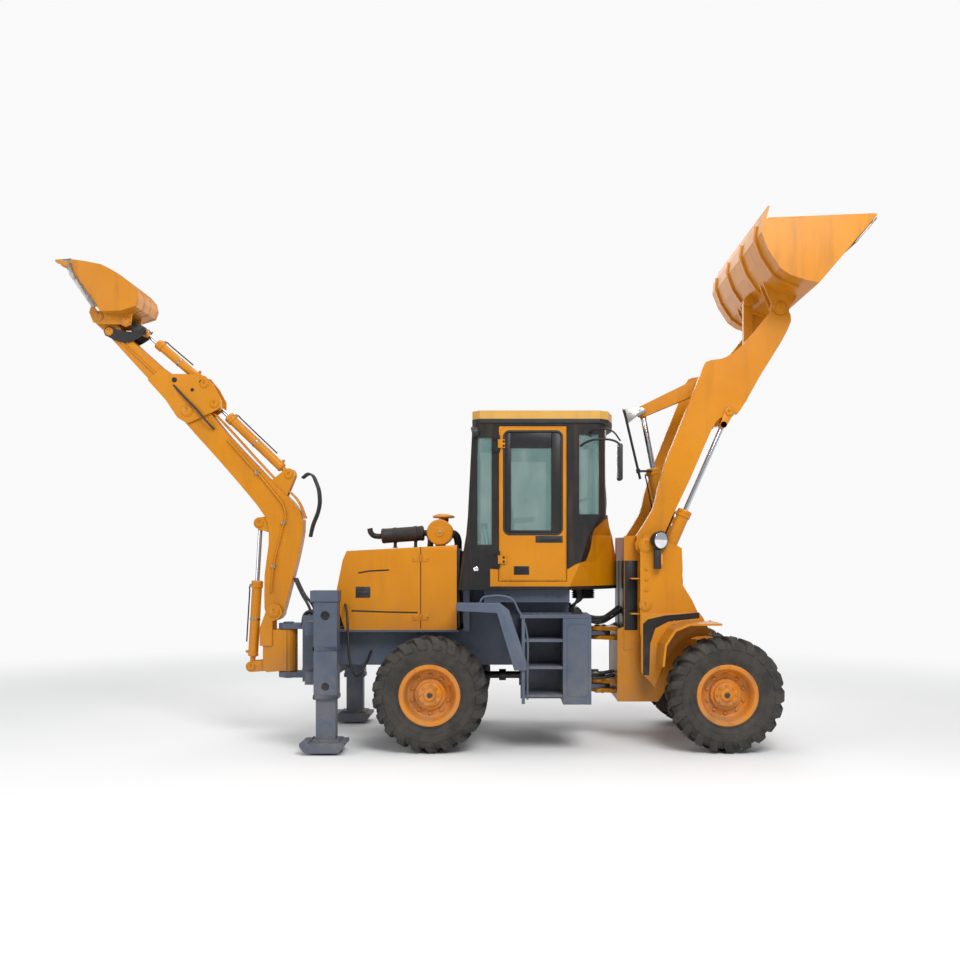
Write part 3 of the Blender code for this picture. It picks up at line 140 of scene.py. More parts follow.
class Finish:
    def __init__(self, name):
        self.material = bpy.data.materials.new(name)
        self.material.use_nodes = True
        self.tree = self.material.node_tree
        self.shader = self.tree.nodes["Principled BSDF"]

    def link(self, value, socket):
        if isinstance(value, Wire):
            self.tree.links.new(value.socket, socket)
        elif isinstance(value, tuple) and socket.type == "RGBA" and len(value) == 3:
            socket.default_value = (*value, 1)
        else:
            socket.default_value = value

    def node(self, kind, settings=None, inputs=None, out=0):
        made = self.tree.nodes.new(kind)
        for key, value in (settings or {}).items():
            if key == "stops":
                ramp = made.color_ramp
                while len(ramp.elements) < len(value):
                    ramp.elements.new(0.5)
                for element, (place, level) in zip(ramp.elements, value):
                    element.position = place
                    element.color = (level, level, level, 1)
            else:
                setattr(made, key, value)
        for key, value in (inputs or {}).items():
            self.link(value, made.inputs[key])
        return Wire(self, made.outputs[out])

    def objectPlace(self):
        return self.node("ShaderNodeTexCoord", out="Object")

    def axis(self, letter, place=None):
        return self.node("ShaderNodeSeparateXYZ", inputs={0: place or self.objectPlace()}, out=letter)

    def cloud(self, scale, detail=3.0, stretch=(1, 1, 1), rough=0.55):
        place = self.objectPlace()
        if stretch != (1, 1, 1):
            place = self.node("ShaderNodeMapping", inputs={0: place, "Scale": stretch})
        return self.node("ShaderNodeTexNoise", {"noise_dimensions": "3D"},
                         {"Vector": place, "Scale": scale, "Detail": detail, "Roughness": rough})

    def blendColour(self, amount, first, second):
        return self.node("ShaderNodeMix", {"data_type": "RGBA"}, {0: amount, 6: first, 7: second}, out=2)

    def facingUp(self):
        return self.axis("Z", self.node("ShaderNodeNewGeometry", out="Normal"))

    def roundedEdge(self, radius):
        return self.node("ShaderNodeBevel", {"samples": 4}, {"Radius": radius})

    def edgeMask(self, rounded):
        normal = self.node("ShaderNodeNewGeometry", out="Normal")
        dot = self.node("ShaderNodeVectorMath", {"operation": "DOT_PRODUCT"}, {0: rounded, 1: normal},
                        out="Value")
        return (1 - dot) * 6.0

    def bump(self, height, distance, strength=1.0, normal=None):
        inputs = {"Height": height, "Distance": distance, "Strength": strength}
        if normal:
            inputs["Normal"] = normal
        return self.node("ShaderNodeBump", inputs=inputs)

    def finish(self, **sockets):
        for key, value in sockets.items():
            self.link(value, self.shader.inputs[key.replace("_", " ")])
        return self.material


dustColour = (0.30, 0.24, 0.17)
primerColour = (0.16, 0.085, 0.045)


def sprayPaint(name, look):
    f = Finish(name)
    tone = f.cloud(look.get("toneScale", 1.6), 4.0)
    colour = f.blendColour(tone.above(0.5, 0.25), look["colour"], look["shade"])
    if "pattern" in look:
        colour = look["pattern"](f, colour)
    streaks = f.cloud(9.0, 5.0, (1.0, 1.0, 0.12)).above(0.62, 0.12)
    colour = f.blendColour(streaks * look.get("streaks", 0.18), colour, look["grime"])
    low = 1 - f.axis("Z").above(0.75, 0.75)
    flat = f.facingUp().above(0.75, 0.2)
    dust = (f.cloud(5.0, 6.0, rough=0.7).above(0.52, 0.22) * (low * 0.55 + flat * 0.35 + 0.06)).clamped()
    colour = f.blendColour(dust * look.get("dust", 0.7), colour, dustColour)
    edge = f.roundedEdge(look.get("edge", 0.006))
    chips = (f.edgeMask(edge) * f.cloud(38.0, 5.0, rough=0.7).above(0.60, 0.05)).clamped()
    specks = f.cloud(70.0, 2.0).above(0.78, 0.015) * f.cloud(3.0, 2.0).above(0.60, 0.06)
    wear = (chips + specks * 0.8).clamped() * look.get("chips", 0.75)
    colour = f.blendColour(wear, colour, look.get("under", primerColour))
    peel = f.cloud(190.0, 2.0) * 0.5 + f.cloud(16.0, 3.0) * 0.5 - wear * 0.6
    rough = (look["rough"] + dust * 0.30 + wear * 0.25 + f.cloud(12.0, 4.0) * 0.12 - 0.06).clamped()
    return f.finish(Base_Color=colour, Roughness=rough, Normal=f.bump(peel, 0.0006, 0.7, edge),
                    Coat_Weight=(0.10 - dust * 0.10).clamped(), Coat_Roughness=0.15, Specular_IOR_Level=0.28)


def cabTwoTone(f, colour):
    # the lower nose and the sill are yellow, and the pillars above them are black
    noseLine = [(0.0, 0.0), (0.0909, 0.0), (0.2273, 0.045), (0.4164, 0.08), (0.4855, 0.18), (0.5545, 0.38),
                (0.7618, 0.48), (1.0, 0.53)]
    across = f.node("ShaderNodeMapRange", {"clamp": True},
                    {0: f.axis("X"), 1: 0.55 + originX, 2: 1.10 + originX})
    line = f.node("ShaderNodeValToRGB", {"stops": noseLine}, {0: across})
    over = f.axis("Z") - line - 1.70
    sill = f.axis("Z").above(1.612, 0.002)
    black = over.above(0.0, 0.004) * sill
    under = 1 - f.axis("Z").above(1.535, 0.002)
    behind = 1 - f.axis("X").above(originX - 0.14, 0.003)
    return f.blendColour(black.highest(under).highest(behind), colour, (0.011, 0.011, 0.013))


yellowLook = {"colour": (0.600, 0.222, 0.0), "shade": (0.520, 0.180, 0.0), "grime": (0.20, 0.09, 0.015),
              "rough": 0.36}
paintYellow = sprayPaint("paintYellow", yellowLook)
paintCab = sprayPaint("paintCab", {**yellowLook, "pattern": cabTwoTone, "chips": 0.4, "dust": 0.5})
paintBucket = sprayPaint("paintBucket",
                         {**yellowLook, "streaks": 0.4, "chips": 1.0, "dust": 0.9, "rough": 0.42})
paintRoof = sprayPaint("paintRoof", {"colour": (0.62, 0.345, 0.075), "shade": (0.55, 0.29, 0.055),
                                     "grime": (0.25, 0.16, 0.07), "rough": 0.5, "chips": 0.3})
paintGrey = sprayPaint("paintGrey", {"colour": (0.090, 0.115, 0.165), "shade": (0.066, 0.085, 0.125),
                                     "grime": (0.05, 0.05, 0.055), "rough": 0.46, "under": (0.12, 0.05,
                                                                                            0.02)})
paintBlack = sprayPaint("paintBlack", {"colour": (0.013, 0.013, 0.016), "shade": (0.008, 0.008, 0.010),
                                       "grime": (0.04, 0.035, 0.03), "rough": 0.40, "dust": 0.45,
                                       "under": (0.10, 0.08, 0.07)})
paintHub = sprayPaint("paintHub", {"colour": (0.70, 0.235, 0.004), "shade": (0.56, 0.17, 0.003),
                                   "grime": (0.13, 0.055, 0.02), "rough": 0.42, "streaks": 0.45, "dust": 0.8})


def rubber(name, colour, rough, grain=220.0, dusty=0.5):
    f = Finish(name)
    dust = (f.cloud(7.0, 6.0, rough=0.7).above(0.5, 0.25) * dusty).clamped()
    tone = f.blendColour(f.cloud(3.0, 3.0).above(0.5, 0.2), colour, tuple(c * 0.6 for c in colour))
    return f.finish(Base_Color=f.blendColour(dust, tone, (0.115, 0.098, 0.078)),
                    Roughness=(rough + dust * 0.12).clamped(),
                    Normal=f.bump(f.cloud(grain, 3.0) + f.cloud(30.0, 4.0) * 2.0, 0.0007, 0.8))


tyreRubber = rubber("tyreRubber", (0.024, 0.022, 0.020), 0.78, dusty=0.42)
hoseRubber = rubber("hoseRubber", (0.011, 0.011, 0.012), 0.52, 420.0, 0.15)
sealRubber = rubber("sealRubber", (0.009, 0.009, 0.010), 0.60, 300.0, 0.12)


def plastic(name, colour, rough):
    f = Finish(name)
    grain = f.node("ShaderNodeTexVoronoi", inputs={"Vector": f.objectPlace(), "Scale": 700.0}, out="Distance")
    dust = f.cloud(9.0, 5.0).above(0.60, 0.15) * 0.18
    return f.finish(Base_Color=f.blendColour(dust, colour, (0.12, 0.11, 0.10)),
                    Roughness=(rough + f.cloud(25.0, 3.0) * 0.14 - 0.05).clamped(),
                    Normal=f.bump(grain, 0.0004, 0.6))


mouldedBlack = plastic("mouldedBlack", (0.012, 0.012, 0.013), 0.48)
mouldedGrey = plastic("mouldedGrey", (0.07, 0.072, 0.078), 0.5)


def metal(name, colour, rough, brush=(1, 1, 1), stain=0.3, tarnish=(0.08, 0.05, 0.03)):
    f = Finish(name)
    lines = f.cloud(160.0, 3.0, brush)
    spots = f.cloud(22.0, 6.0, rough=0.7).above(0.60, 0.10) * stain
    return f.finish(Base_Color=f.blendColour(spots, colour, tarnish), Metallic=(1 - spots).clamped(),
                    Roughness=(rough + lines * 0.10 + spots * 0.4 - 0.04).clamped(),
                    Normal=f.bump(lines, 0.0002, 0.5, f.roundedEdge(0.002)))


chromeRod = metal("chromeRod", (0.60, 0.63, 0.68), 0.12, stain=0.06)
zincBolt = metal("zincBolt", (0.34, 0.33, 0.31), 0.34, stain=0.5)
wornSteel = metal("wornSteel", (0.27, 0.25, 0.235), 0.36, (0.15, 1, 1), 0.55, (0.16, 0.075, 0.03))
darkSteel = metal("darkSteel", (0.085, 0.080, 0.075), 0.42, stain=0.5)


def heatedSteel():
    f = Finish("heatedSteel")
    rust = f.cloud(14.0, 6.0, rough=0.7).above(0.56, 0.12) * 0.7
    soot = f.blendColour(f.cloud(4.0, 3.0), (0.012, 0.012, 0.013), (0.028, 0.024, 0.022))
    return f.finish(Base_Color=f.blendColour(rust, soot, (0.075, 0.033, 0.015)),
                    Roughness=(0.55 + rust * 0.3).clamped(), Metallic=0.3,
                    Normal=f.bump(f.cloud(120.0, 4.0), 0.0006, 0.8))


mufflerSteel = heatedSteel()


def glass(name, tint, alpha, rough=0.04):
    f = Finish(name)
    smear = f.cloud(6.0, 5.0, (1.0, 1.0, 0.4)).above(0.58, 0.2)
    return f.finish(Base_Color=f.blendColour(smear * 0.35, tint, (0.45, 0.47, 0.45)),
                    Roughness=(rough + smear * 0.10).clamped(), Alpha=(alpha + smear * 0.10).clamped(),
                    IOR=1.5, Specular_IOR_Level=0.8, Coat_Weight=0.4, Coat_Roughness=0.03)


cabGlass = glass("cabGlass", (0.155, 0.275, 0.255), 0.50)


def lens(name, colour):
    f = Finish(name)
    ribs = f.node("ShaderNodeTexWave", {"wave_type": "BANDS", "bands_direction": "Z"},
                  {"Vector": f.objectPlace(), "Scale": 60.0, "Distortion": 0.0}, out="Fac")
    return f.finish(Base_Color=f.blendColour(ribs * 0.3, colour, tuple(c * 0.6 for c in colour)),
                    Roughness=(0.10 + f.cloud(30.0, 2.0) * 0.08).clamped(), Coat_Weight=0.6,
                    Normal=f.bump(ribs, 0.0008, 0.8))


amberLens = lens("amberLens", (0.80, 0.25, 0.02))
redLens = lens("redLens", (0.55, 0.02, 0.015))
silverBowl = metal("silverBowl", (0.85, 0.86, 0.88), 0.10, stain=0.0)


def seatVinyl():
    f = Finish("seatVinyl")
    grain = f.node("ShaderNodeTexVoronoi", {"feature": "DISTANCE_TO_EDGE"},
                   {"Vector": f.objectPlace(), "Scale": 260.0}, out="Distance")
    folds = f.cloud(11.0, 4.0)
    worn = f.cloud(5.0, 5.0).above(0.58, 0.15) * 0.35
    return f.finish(Base_Color=f.blendColour(worn, (0.018, 0.018, 0.019), (0.055, 0.052, 0.048)),
                    Roughness=(0.46 + grain * 0.5 + worn * 0.2).clamped(),
                    Normal=f.bump(grain.above(0.05, 0.05) + folds * 1.5, 0.0009, 0.8))


seatCover = seatVinyl()


def paleFloor():
    f = Finish("paleFloor")
    tone = f.blendColour(f.cloud(0.35, 5.0).above(0.5, 0.3) * 0.5, studio["floor"], (0.82, 0.82, 0.81))
    f.finish(Base_Color=tone, Roughness=(0.75 + f.cloud(8.0, 4.0) * 0.15).clamped(),
             Normal=f.bump(f.cloud(60.0, 4.0), 0.0006, 0.4))
    away = f.node("ShaderNodeVectorMath", {"operation": "LENGTH"}, {0: f.objectPlace()}, out="Value")
    glow = f.node("ShaderNodeEmission", inputs={"Color": (1, 1, 1, 1), "Strength": studio["backdrop"]}, out=0)
    faded = f.node("ShaderNodeMixShader",
                   inputs={0: away.above(studio["fadeAt"], studio["fadeSoft"]),
                           1: Wire(f, f.shader.outputs[0]), 2: glow}, out=0)
    f.tree.links.new(faded.socket, f.tree.nodes["Material Output"].inputs["Surface"])
    return f.material


floorFinish = paleFloor()
print("finishes made")


# mesh helpers: each one adds a shape to a bmesh and gives back its vertices
def addBox(bm, x, y, z, inner=None):
    middle = Matrix.Translation((sum(x) / 2, sum(y) / 2, sum(z) / 2))
    size = Matrix.Diagonal((abs(x[1] - x[0]), abs(y[1] - y[0]), abs(z[1] - z[0]), 1))
    return bmesh.ops.create_cube(bm, size=1, matrix=(inner or Matrix()) @ middle @ size)["verts"]


def addRod(bm, start, end, radius, endRadius=None, segments=32):
    start, end = Vector(start), Vector(end)
    turn = Vector((0, 0, 1)).rotation_difference(end - start).to_matrix().to_4x4()
    place = Matrix.Translation((start + end) / 2) @ turn
    made = bmesh.ops.create_cone(bm, cap_ends=True, segments=segments, radius1=radius,
                                 radius2=radius if endRadius is None else endRadius,
                                 depth=(end - start).length, matrix=place)
    return made["verts"]


def addPlate(bm, outline, y):
    ring = [bm.verts.new((x, y[0], z)) for x, z in outline]
    face = bm.faces.new(ring)
    grown = bmesh.ops.extrude_face_region(bm, geom=[face])["geom"]
    moved = [v for v in grown if isinstance(v, bmesh.types.BMVert)]
    bmesh.ops.translate(bm, vec=(0, y[1] - y[0], 0), verts=moved)
    return ring + moved


def addSpin(bm, profile, centre, axis=(0, 1, 0), steps=64, closed=True):
    # profile is (distance from the axis, distance along it)
    axis = Vector(axis).normalized()
    side = axis.orthogonal().normalized()
    verts = [bm.verts.new(Vector(centre) + side * r + axis * w) for r, w in profile]
    pairs = list(zip(verts, verts[1:])) + ([(verts[-1], verts[0])] if closed else [])
    edges = [bm.edges.new(pair) for pair in pairs]
    bmesh.ops.spin(bm, geom=verts + edges, cent=centre, axis=axis, dvec=(0, 0, 0),
                   angle=math.tau, steps=steps, use_merge=True)
    return verts


def addHex(bm, place, axis, radius=0.012, height=0.009):
    axis = Vector(axis).normalized()
    addRod(bm, place, Vector(place) + axis * height, radius, segments=6)
    addRod(bm, Vector(place) - axis * 0.001, Vector(place) + axis * 0.002, radius * 1.45, segments=16)


def softened(bm, width, segments=2, sharp=0.55):
    edges = [e for e in bm.edges if len(e.link_faces) == 2 and e.calc_face_angle(0) > sharp]
    bmesh.ops.bevel(bm, geom=edges, offset=width, affect="EDGES", segments=segments, profile=0.5,
                    material=-1, clamp_overlap=True)


def finishMesh(name, bm, finish, body, smooth=35, edge=0.0):
    bmesh.ops.remove_doubles(bm, verts=bm.verts, dist=0.00002)
    bmesh.ops.recalc_face_normals(bm, faces=bm.faces)
    if edge:
        softened(bm, edge)
    mesh = bpy.data.meshes.new(name)
    bm.to_mesh(mesh)
    bm.free()
    mesh.polygons.foreach_set("use_smooth", [True] * len(mesh.polygons))
    mesh.set_sharp_from_angle(angle=math.radians(smooth))
    mesh.materials.append(finish)
    obj = bpy.data.objects.new(name, mesh)
    bpy.context.scene.collection.objects.link(obj)
    if body:
        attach(obj, body)
    return obj


def boxPiece(name, box, *look):
    bm = bmesh.new()
    addBox(bm, *box)
    return finishMesh(name, bm, *look)


def platePiece(name, plate, *look):
    bm = bmesh.new()
    addPlate(bm, *plate)
    return finishMesh(name, bm, *look)


def hose(name, points, radius, finish, body, steps=8, sides=3):
    curve = bpy.data.curves.new(name, "CURVE")
    curve.dimensions = "3D"
    curve.bevel_depth = radius
    curve.bevel_resolution = sides
    curve.resolution_u = steps
    curve.use_fill_caps = True
    spline = curve.splines.new("BEZIER")
    spline.bezier_points.add(len(points) - 1)
    for knot, place in zip(spline.bezier_points, points):
        knot.co = place
        knot.handle_left_type = knot.handle_right_type = "AUTO"
    curve.materials.append(finish)
    obj = bpy.data.objects.new(name, curve)
    bpy.context.scene.collection.objects.link(obj)
    if body:
        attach(obj, body)
    return obj


def bentHose(name, points, radius, finish=None):
    # a hose that crosses a joint is a plain mesh made from the curve and attached to no body
    guide = hose(name + "Guide", points, radius, finish or hoseRubber, None)
    mesh = bpy.data.meshes.new_from_object(guide.evaluated_get(bpy.context.evaluated_depsgraph_get()))
    bpy.data.objects.remove(guide)
    mesh.materials.clear()
    mesh.materials.append(finish or hoseRubber)
    obj = bpy.data.objects.new(name, mesh)
    bpy.context.scene.collection.objects.link(obj)
    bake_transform(obj)
    return obj


def bothSides(build):
    for label, side in (("right", -1), ("left", 1)):
        build(label, side)


def span(side, low, high):
    return tuple(sorted((side * low, side * high)))


# CAD pieces that stay get their finishes
carried = {
    paintYellow: ("front_frame", "loader_arms", "bell_crank", "loader_link", "swing_post", "boom", "stick",
                  "engine_hood", "right_door", "left_door"),
    paintBucket: ("loader_bucket", "hoe_bucket"),
    paintCab: ("cab_frame",),
    paintRoof: ("cab_roof",),
    paintGrey: ("rear_chassis", "rear_axle", "front_axle", "right_step_box", "left_step_box", "hoe_frame",
                "side_shift_carriage", "right_stabilizer", "left_stabilizer"),
    paintBlack: ("right_hoe_rocker", "left_hoe_rocker", "engine_block"),
    darkSteel: ("hoe_link",),
    mouldedBlack: ("seat_base", "steering_console"),
    cabGlass: ("windshield", "rear_glass", "rear_quarter_right_glass", "rear_quarter_left_glass",
               "front_quarter_right_glass", "front_quarter_left_glass", "right_door_glass",
               "left_door_glass"),
}
for finish, names in carried.items():
    for nodeName in names:
        nodes[nodeName].data.materials.clear()
        nodes[nodeName].data.materials.append(finish)


# tyres and wheels
tyreLook = {"lugs": 21, "sweep": 0.17, "steps": 84}
sidewall = [(0.262, 0.150), (0.272, 0.158), (0.290, 0.161), (0.300, 0.166), (0.306, 0.163), (0.330, 0.178),
            (0.352, 0.187), (0.356, 0.184), (0.400, 0.194), (0.424, 0.195), (0.428, 0.191), (0.455, 0.186),
            (0.480, 0.168), (0.496, 0.140), (0.504, 0.090), (0.506, 0.030)]
lugFoot = [(0.008, 0.498), (0.060, 0.498), (0.112, 0.494), (0.150, 0.484), (0.176, 0.462), (0.189, 0.425)]
lugTop = [(0.008, 0.5372), (0.060, 0.5372), (0.116, 0.5362), (0.158, 0.5250), (0.190, 0.4900),
          (0.2020, 0.4320)]


def addLug(bm, centre, side, turn):
    steps = len(lugFoot) - 1
    verts = bmesh.ops.create_cube(bm, size=1)["verts"]
    long = [e for e in bm.edges
            if set(e.verts) <= set(verts) and abs(e.verts[0].co.y - e.verts[1].co.y) > 0.5]
    bmesh.ops.subdivide_edges(bm, edges=long, cuts=steps - 1, use_grid_fill=False)
    bm.verts.ensure_lookup_table()
    fresh = [v for v in bm.verts if not v.tag]
    for v in fresh:
        v.tag = True
        share = v.co.y + 0.5
        row = min(steps, round(share * steps))
        y, radius = (lugTop if v.co.z > 0 else lugFoot)[row]
        width = (0.030 + 0.022 * share) * (0.84 if v.co.z > 0 else 1.0)
        angle = turn + tyreLook["sweep"] * share + v.co.x * 2 * width / 0.53
        v.co = Vector(centre) + Vector((radius * math.sin(angle), side * y, radius * math.cos(angle)))


def tyre(corner):
    low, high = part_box(f"{corner}_tyre")
    centre = (low + high) / 2
    bm = bmesh.new()
    profile = sidewall + [(r, -w) for r, w in reversed(sidewall)]
    addSpin(bm, profile, centre, steps=tyreLook["steps"])
    for v in bm.verts:
        v.tag = True
    pitch = math.tau / tyreLook["lugs"]
    for side in (-1, 1):
        for i in range(tyreLook["lugs"]):
            addLug(bm, centre, side, i * pitch + (pitch / 2 if side > 0 else 0))
    obj = finishMesh(f"{corner}TyreTread", bm, tyreRubber, f"{corner}_wheel", 32)
    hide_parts(f"{corner}_tyre")
    return centre


wheelLook = {"nuts": 10, "nutRing": 0.176, "hubBolts": 8, "hubRing": 0.088}
rimShape = [(0, 0.140), (0.050, 0.140), (0.058, 0.134), (0.062, 0.124), (0.100, 0.121), (0.112, 0.112),
            (0.116, 0.086), (0.140, 0.080), (0.146, 0.072), (0.147, 0.050), (0.196, 0.048), (0.212, 0.058),
            (0.224, 0.082), (0.230, 0.120), (0.236, 0.150), (0.246, 0.164), (0.262, 0.1685), (0.281, 0.1685),
            (0.286, 0.164), (0.286, 0.156), (0.276, 0.151), (0.262, 0.150), (0.262, -0.150), (0.276, -0.151),
            (0.286, -0.156), (0.286, -0.164), (0.281, -0.1685), (0.258, -0.1685), (0.244, -0.140), (0.238,
                                                                                                    0.000),
            (0.215, 0.022), (0.150, 0.024), (0, 0.024)]


def wheel(corner, centre, side):
    bm = bmesh.new()
    addSpin(bm, [(r, side * w) for r, w in rimShape], centre, steps=72, closed=False)
    obj = finishMesh(f"{corner}WheelDisc", bm, paintHub, f"{corner}_wheel", 28)
    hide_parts(f"{corner}_rim")
    bolts = bmesh.new()
    for count, ring, depth, radius in ((wheelLook["nuts"], wheelLook["nutRing"], 0.048, 0.015),
                                       (wheelLook["hubBolts"], wheelLook["hubRing"], 0.121, 0.009)):
        for i in range(count):
            angle = math.tau * i / count
            place = centre + Vector((ring * math.sin(angle), side * depth, ring * math.cos(angle)))
            addHex(bolts, place, (0, side, 0), radius, 0.016)
    finishMesh(f"{corner}WheelNuts", bolts, paintHub, f"{corner}_wheel", 30, 0.001)
    plug = bmesh.new()
    addSpin(plug, [(0, 0.152), (0.018, 0.151), (0.024, 0.147), (0.026, 0.138), (0, 0.138)],
            centre, (0, side, 0), 32, closed=False)
    finishMesh(f"{corner}HubPlug", plug, darkSteel, f"{corner}_wheel", 30)


for corner in ("rear_right", "front_right", "rear_left", "front_left"):
    wheel(corner, tyre(corner), -1 if "right" in corner else 1)
print("wheels made")


# hydraulic cylinders
def ram(name, base, eye, look, y=0.0):
    base, eye = at(base[0], y, base[1]), at(eye[0], y, eye[1])
    along = (eye - base).normalized()
    across = Vector((0, 1, 0))
    up = along.cross(across)
    length, radius, rod = look["barrel"], look["radius"], look["rod"]
    neck = look.get("neck", 0.10)
    body = look["body"]
    bm = bmesh.new()
    eyeHalf = 0.030
    addSpin(bm, [(0.0255, -eyeHalf), (0.046, -eyeHalf), (0.050, -eyeHalf + 0.004), (0.050, eyeHalf - 0.004),
                 (0.046, eyeHalf), (0.0255, eyeHalf)], base, across, 40)
    addRod(bm, base + along * 0.047, base + along * (neck + 0.012), eyeHalf - 0.003, segments=24)
    tube = [(0, neck), (radius - 0.006, neck), (radius, neck + 0.006), (radius, length - 0.074),
            (radius + 0.004, length - 0.072), (radius + 0.008, length - 0.068), (radius + 0.008,
                                                                                 length - 0.040),
            (radius + 0.005, length - 0.037), (radius + 0.005, length - 0.034), (radius + 0.008,
                                                                                 length - 0.031),
            (radius + 0.008, length - 0.010), (radius + 0.003, length - 0.001), (rod + 0.010, length),
            (rod + 0.001, length), (rod + 0.001, length - 0.020), (0, length - 0.020)]
    addSpin(bm, tube, base, along, 40, closed=False)
    addSpin(bm, [(radius + 0.0005, neck + 0.010), (radius + 0.004, neck + 0.013),
                 (radius + 0.004, neck + 0.020), (radius + 0.0005, neck + 0.024)], base, along, 40)
    side = up * look.get("pipeSide", 1)
    for distance in (neck + 0.045, length - 0.050):
        foot = base + along * distance + side * (radius - 0.006)
        addRod(bm, foot, foot + side * 0.022, 0.016, segments=20)
    obj = finishMesh(f"{name}Barrel", bm, paintYellow, body + "_barrel", 32)
    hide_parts(look["node"] + "_barrel")
    lineStart = base + along * (neck + 0.045) + side * (radius + 0.014)
    lineEnd = base + along * (length - 0.050) + side * (radius + 0.014)
    pipe = [lineEnd, lineEnd + side * 0.010 - along * 0.012, lineEnd + side * 0.009 - along * 0.05,
            lineStart + side * 0.009 + along * 0.16, lineStart + side * 0.009 + along * 0.10]
    hose(f"{name}HardLine", pipe, 0.007, paintBlack, body + "_barrel", 6)
    fittings = bmesh.new()
    for place in (lineStart, lineEnd):
        addRod(fittings, place - side * 0.004, place + side * 0.012, 0.012, segments=6)
    clampAt = base + along * (length * 0.55)
    addSpin(fittings, [(radius + 0.0005, -0.008), (radius + 0.0028, -0.008), (radius + 0.0028, 0.008),
                       (radius + 0.0005, 0.008)], clampAt, along, 32)
    finishMesh(f"{name}Fittings", fittings, zincBolt, body + "_barrel", 30)
    bm = bmesh.new()
    total = (eye - base).length
    reach = look.get("fork", 0.030)
    inside = length - look["inside"]
    shaft = [(0, inside), (rod - 0.002, inside), (rod, inside + 0.002), (rod, total - reach - 0.004),
             (rod - 0.001, total - reach), (0, total - reach)]
    addSpin(bm, shaft, base, along, 40, closed=False)
    obj = finishMesh(f"{name}Rod", bm, chromeRod, body + "_rod", 32)
    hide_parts(look["node"] + "_rod")
    bm = bmesh.new()
    if "fork" in look:
        head = eye - along * 0.13
        addRod(bm, head - across * 0.064, head + across * 0.064, 0.032, segments=28)
        for low, high in ((-0.064, -0.046), (0.046, 0.064)):
            outline = [(eye + (along * math.cos(t) + up * math.sin(t)) * 0.045) for t in
                       [math.radians(a) for a in range(-90, 91, 15)]]
            outline += [(head + (along * math.cos(t) + up * math.sin(t)) * 0.032) for t in
                        [math.radians(a) for a in range(90, 271, 20)]]
            addPlate(bm, [(p.x, p.z) for p in outline], (y + low, y + high))
        finishMesh(f"{name}RodFork", bm, paintYellow, body + "_rod", 32, 0.002)
    else:
        half = 0.026
        addSpin(bm, [(0.0255, -half), (0.041, -half), (0.045, -half + 0.004), (0.045, half - 0.004),
                     (0.041, half), (0.0255, half)], eye, across, 40)
        addRod(bm, eye - along * 0.072, eye - along * 0.040, rod + 0.002, rod + 0.006, 28)
        finishMesh(f"{name}RodEye", bm, paintYellow, body + "_rod", 32)


rams = {
    "boomRam": ((-2.570, 0.707), (-2.485, 2.159), 0.0,
                {"node": "boom_cylinder", "body": "boom", "barrel": 0.87, "radius": 0.050, "rod": 0.022,
                 "inside": 0.18, "pipeSide": 1}),
    "stickRam": ((-2.190, 2.650), (-2.930, 3.360), 0.0,
                 {"node": "stick_cylinder", "body": "stick", "barrel": 0.86, "radius": 0.048, "rod": 0.022,
                  "inside": 0.45, "pipeSide": -1}),
    "hoeBucketRam": ((-3.030, 3.560), (-3.670, 4.105), 0.0,
                     {"node": "hoe_bucket_cylinder", "body": "hoe_bucket_cylinder", "barrel": 0.66,
                      "radius": 0.044, "rod": 0.022, "inside": 0.52, "pipeSide": -1}),
    "tiltRam": ((1.680, 1.837), (1.395, 3.293), 0.0,
                {"node": "tilt_cylinder", "body": "tilt", "barrel": 0.90, "radius": 0.068, "rod": 0.028,
                 "inside": 0.40, "pipeSide": 1}),
    "rightLiftRam": ((1.350, 1.350), (2.163, 3.212), -0.47,
                     {"node": "right_lift_cylinder", "body": "right_lift", "barrel": 1.00, "radius": 0.062,
                      "rod": 0.024, "inside": 0.04, "neck": 0.07, "fork": 0.13, "pipeSide": 1}),
    "leftLiftRam": ((1.350, 1.350), (2.163, 3.212), 0.47,
                    {"node": "left_lift_cylinder", "body": "left_lift", "barrel": 1.00, "radius": 0.062,
                     "rod": 0.024, "inside": 0.04, "neck": 0.07, "fork": 0.13, "pipeSide": 1}),
}
for ramName, (base, eye, y, look) in rams.items():
    ram(ramName, base, eye, look, y)
print("cylinders made")


# pin ends: a turned cap, a keeper plate and its bolt
def pinEnd(name, place, y, side, radius, body, finish=None):
    centre = at(place[0], side * y, place[1])
    out = Vector((0, side, 0))
    bm = bmesh.new()
    addSpin(bm, [(0, 0.012), (radius * 0.72, 0.012), (radius * 0.78, 0.010), (radius * 0.80, 0.006),
                 (radius - 0.003, 0.006), (radius, 0.003), (radius, -0.002), (0, -0.002)],
            centre, out, 40, closed=False)
    finishMesh(f"{name}Cap", bm, finish or paintYellow, body, 30)
    keeper = bmesh.new()
    addBox(keeper, (centre.x - 0.012, centre.x + 0.012), sorted((centre.y, centre.y + side * 0.014)),
           (centre.z + radius * 0.2, centre.z + radius * 0.72))
    addHex(keeper, centre + out * 0.014 + Vector((0, 0, radius * 0.5)), out, 0.008, 0.007)
    addRod(keeper, centre + out * 0.011, centre + out * 0.019, 0.005, 0.003, 12)
    finishMesh(f"{name}Keeper", keeper, finish or paintYellow, body, 30)


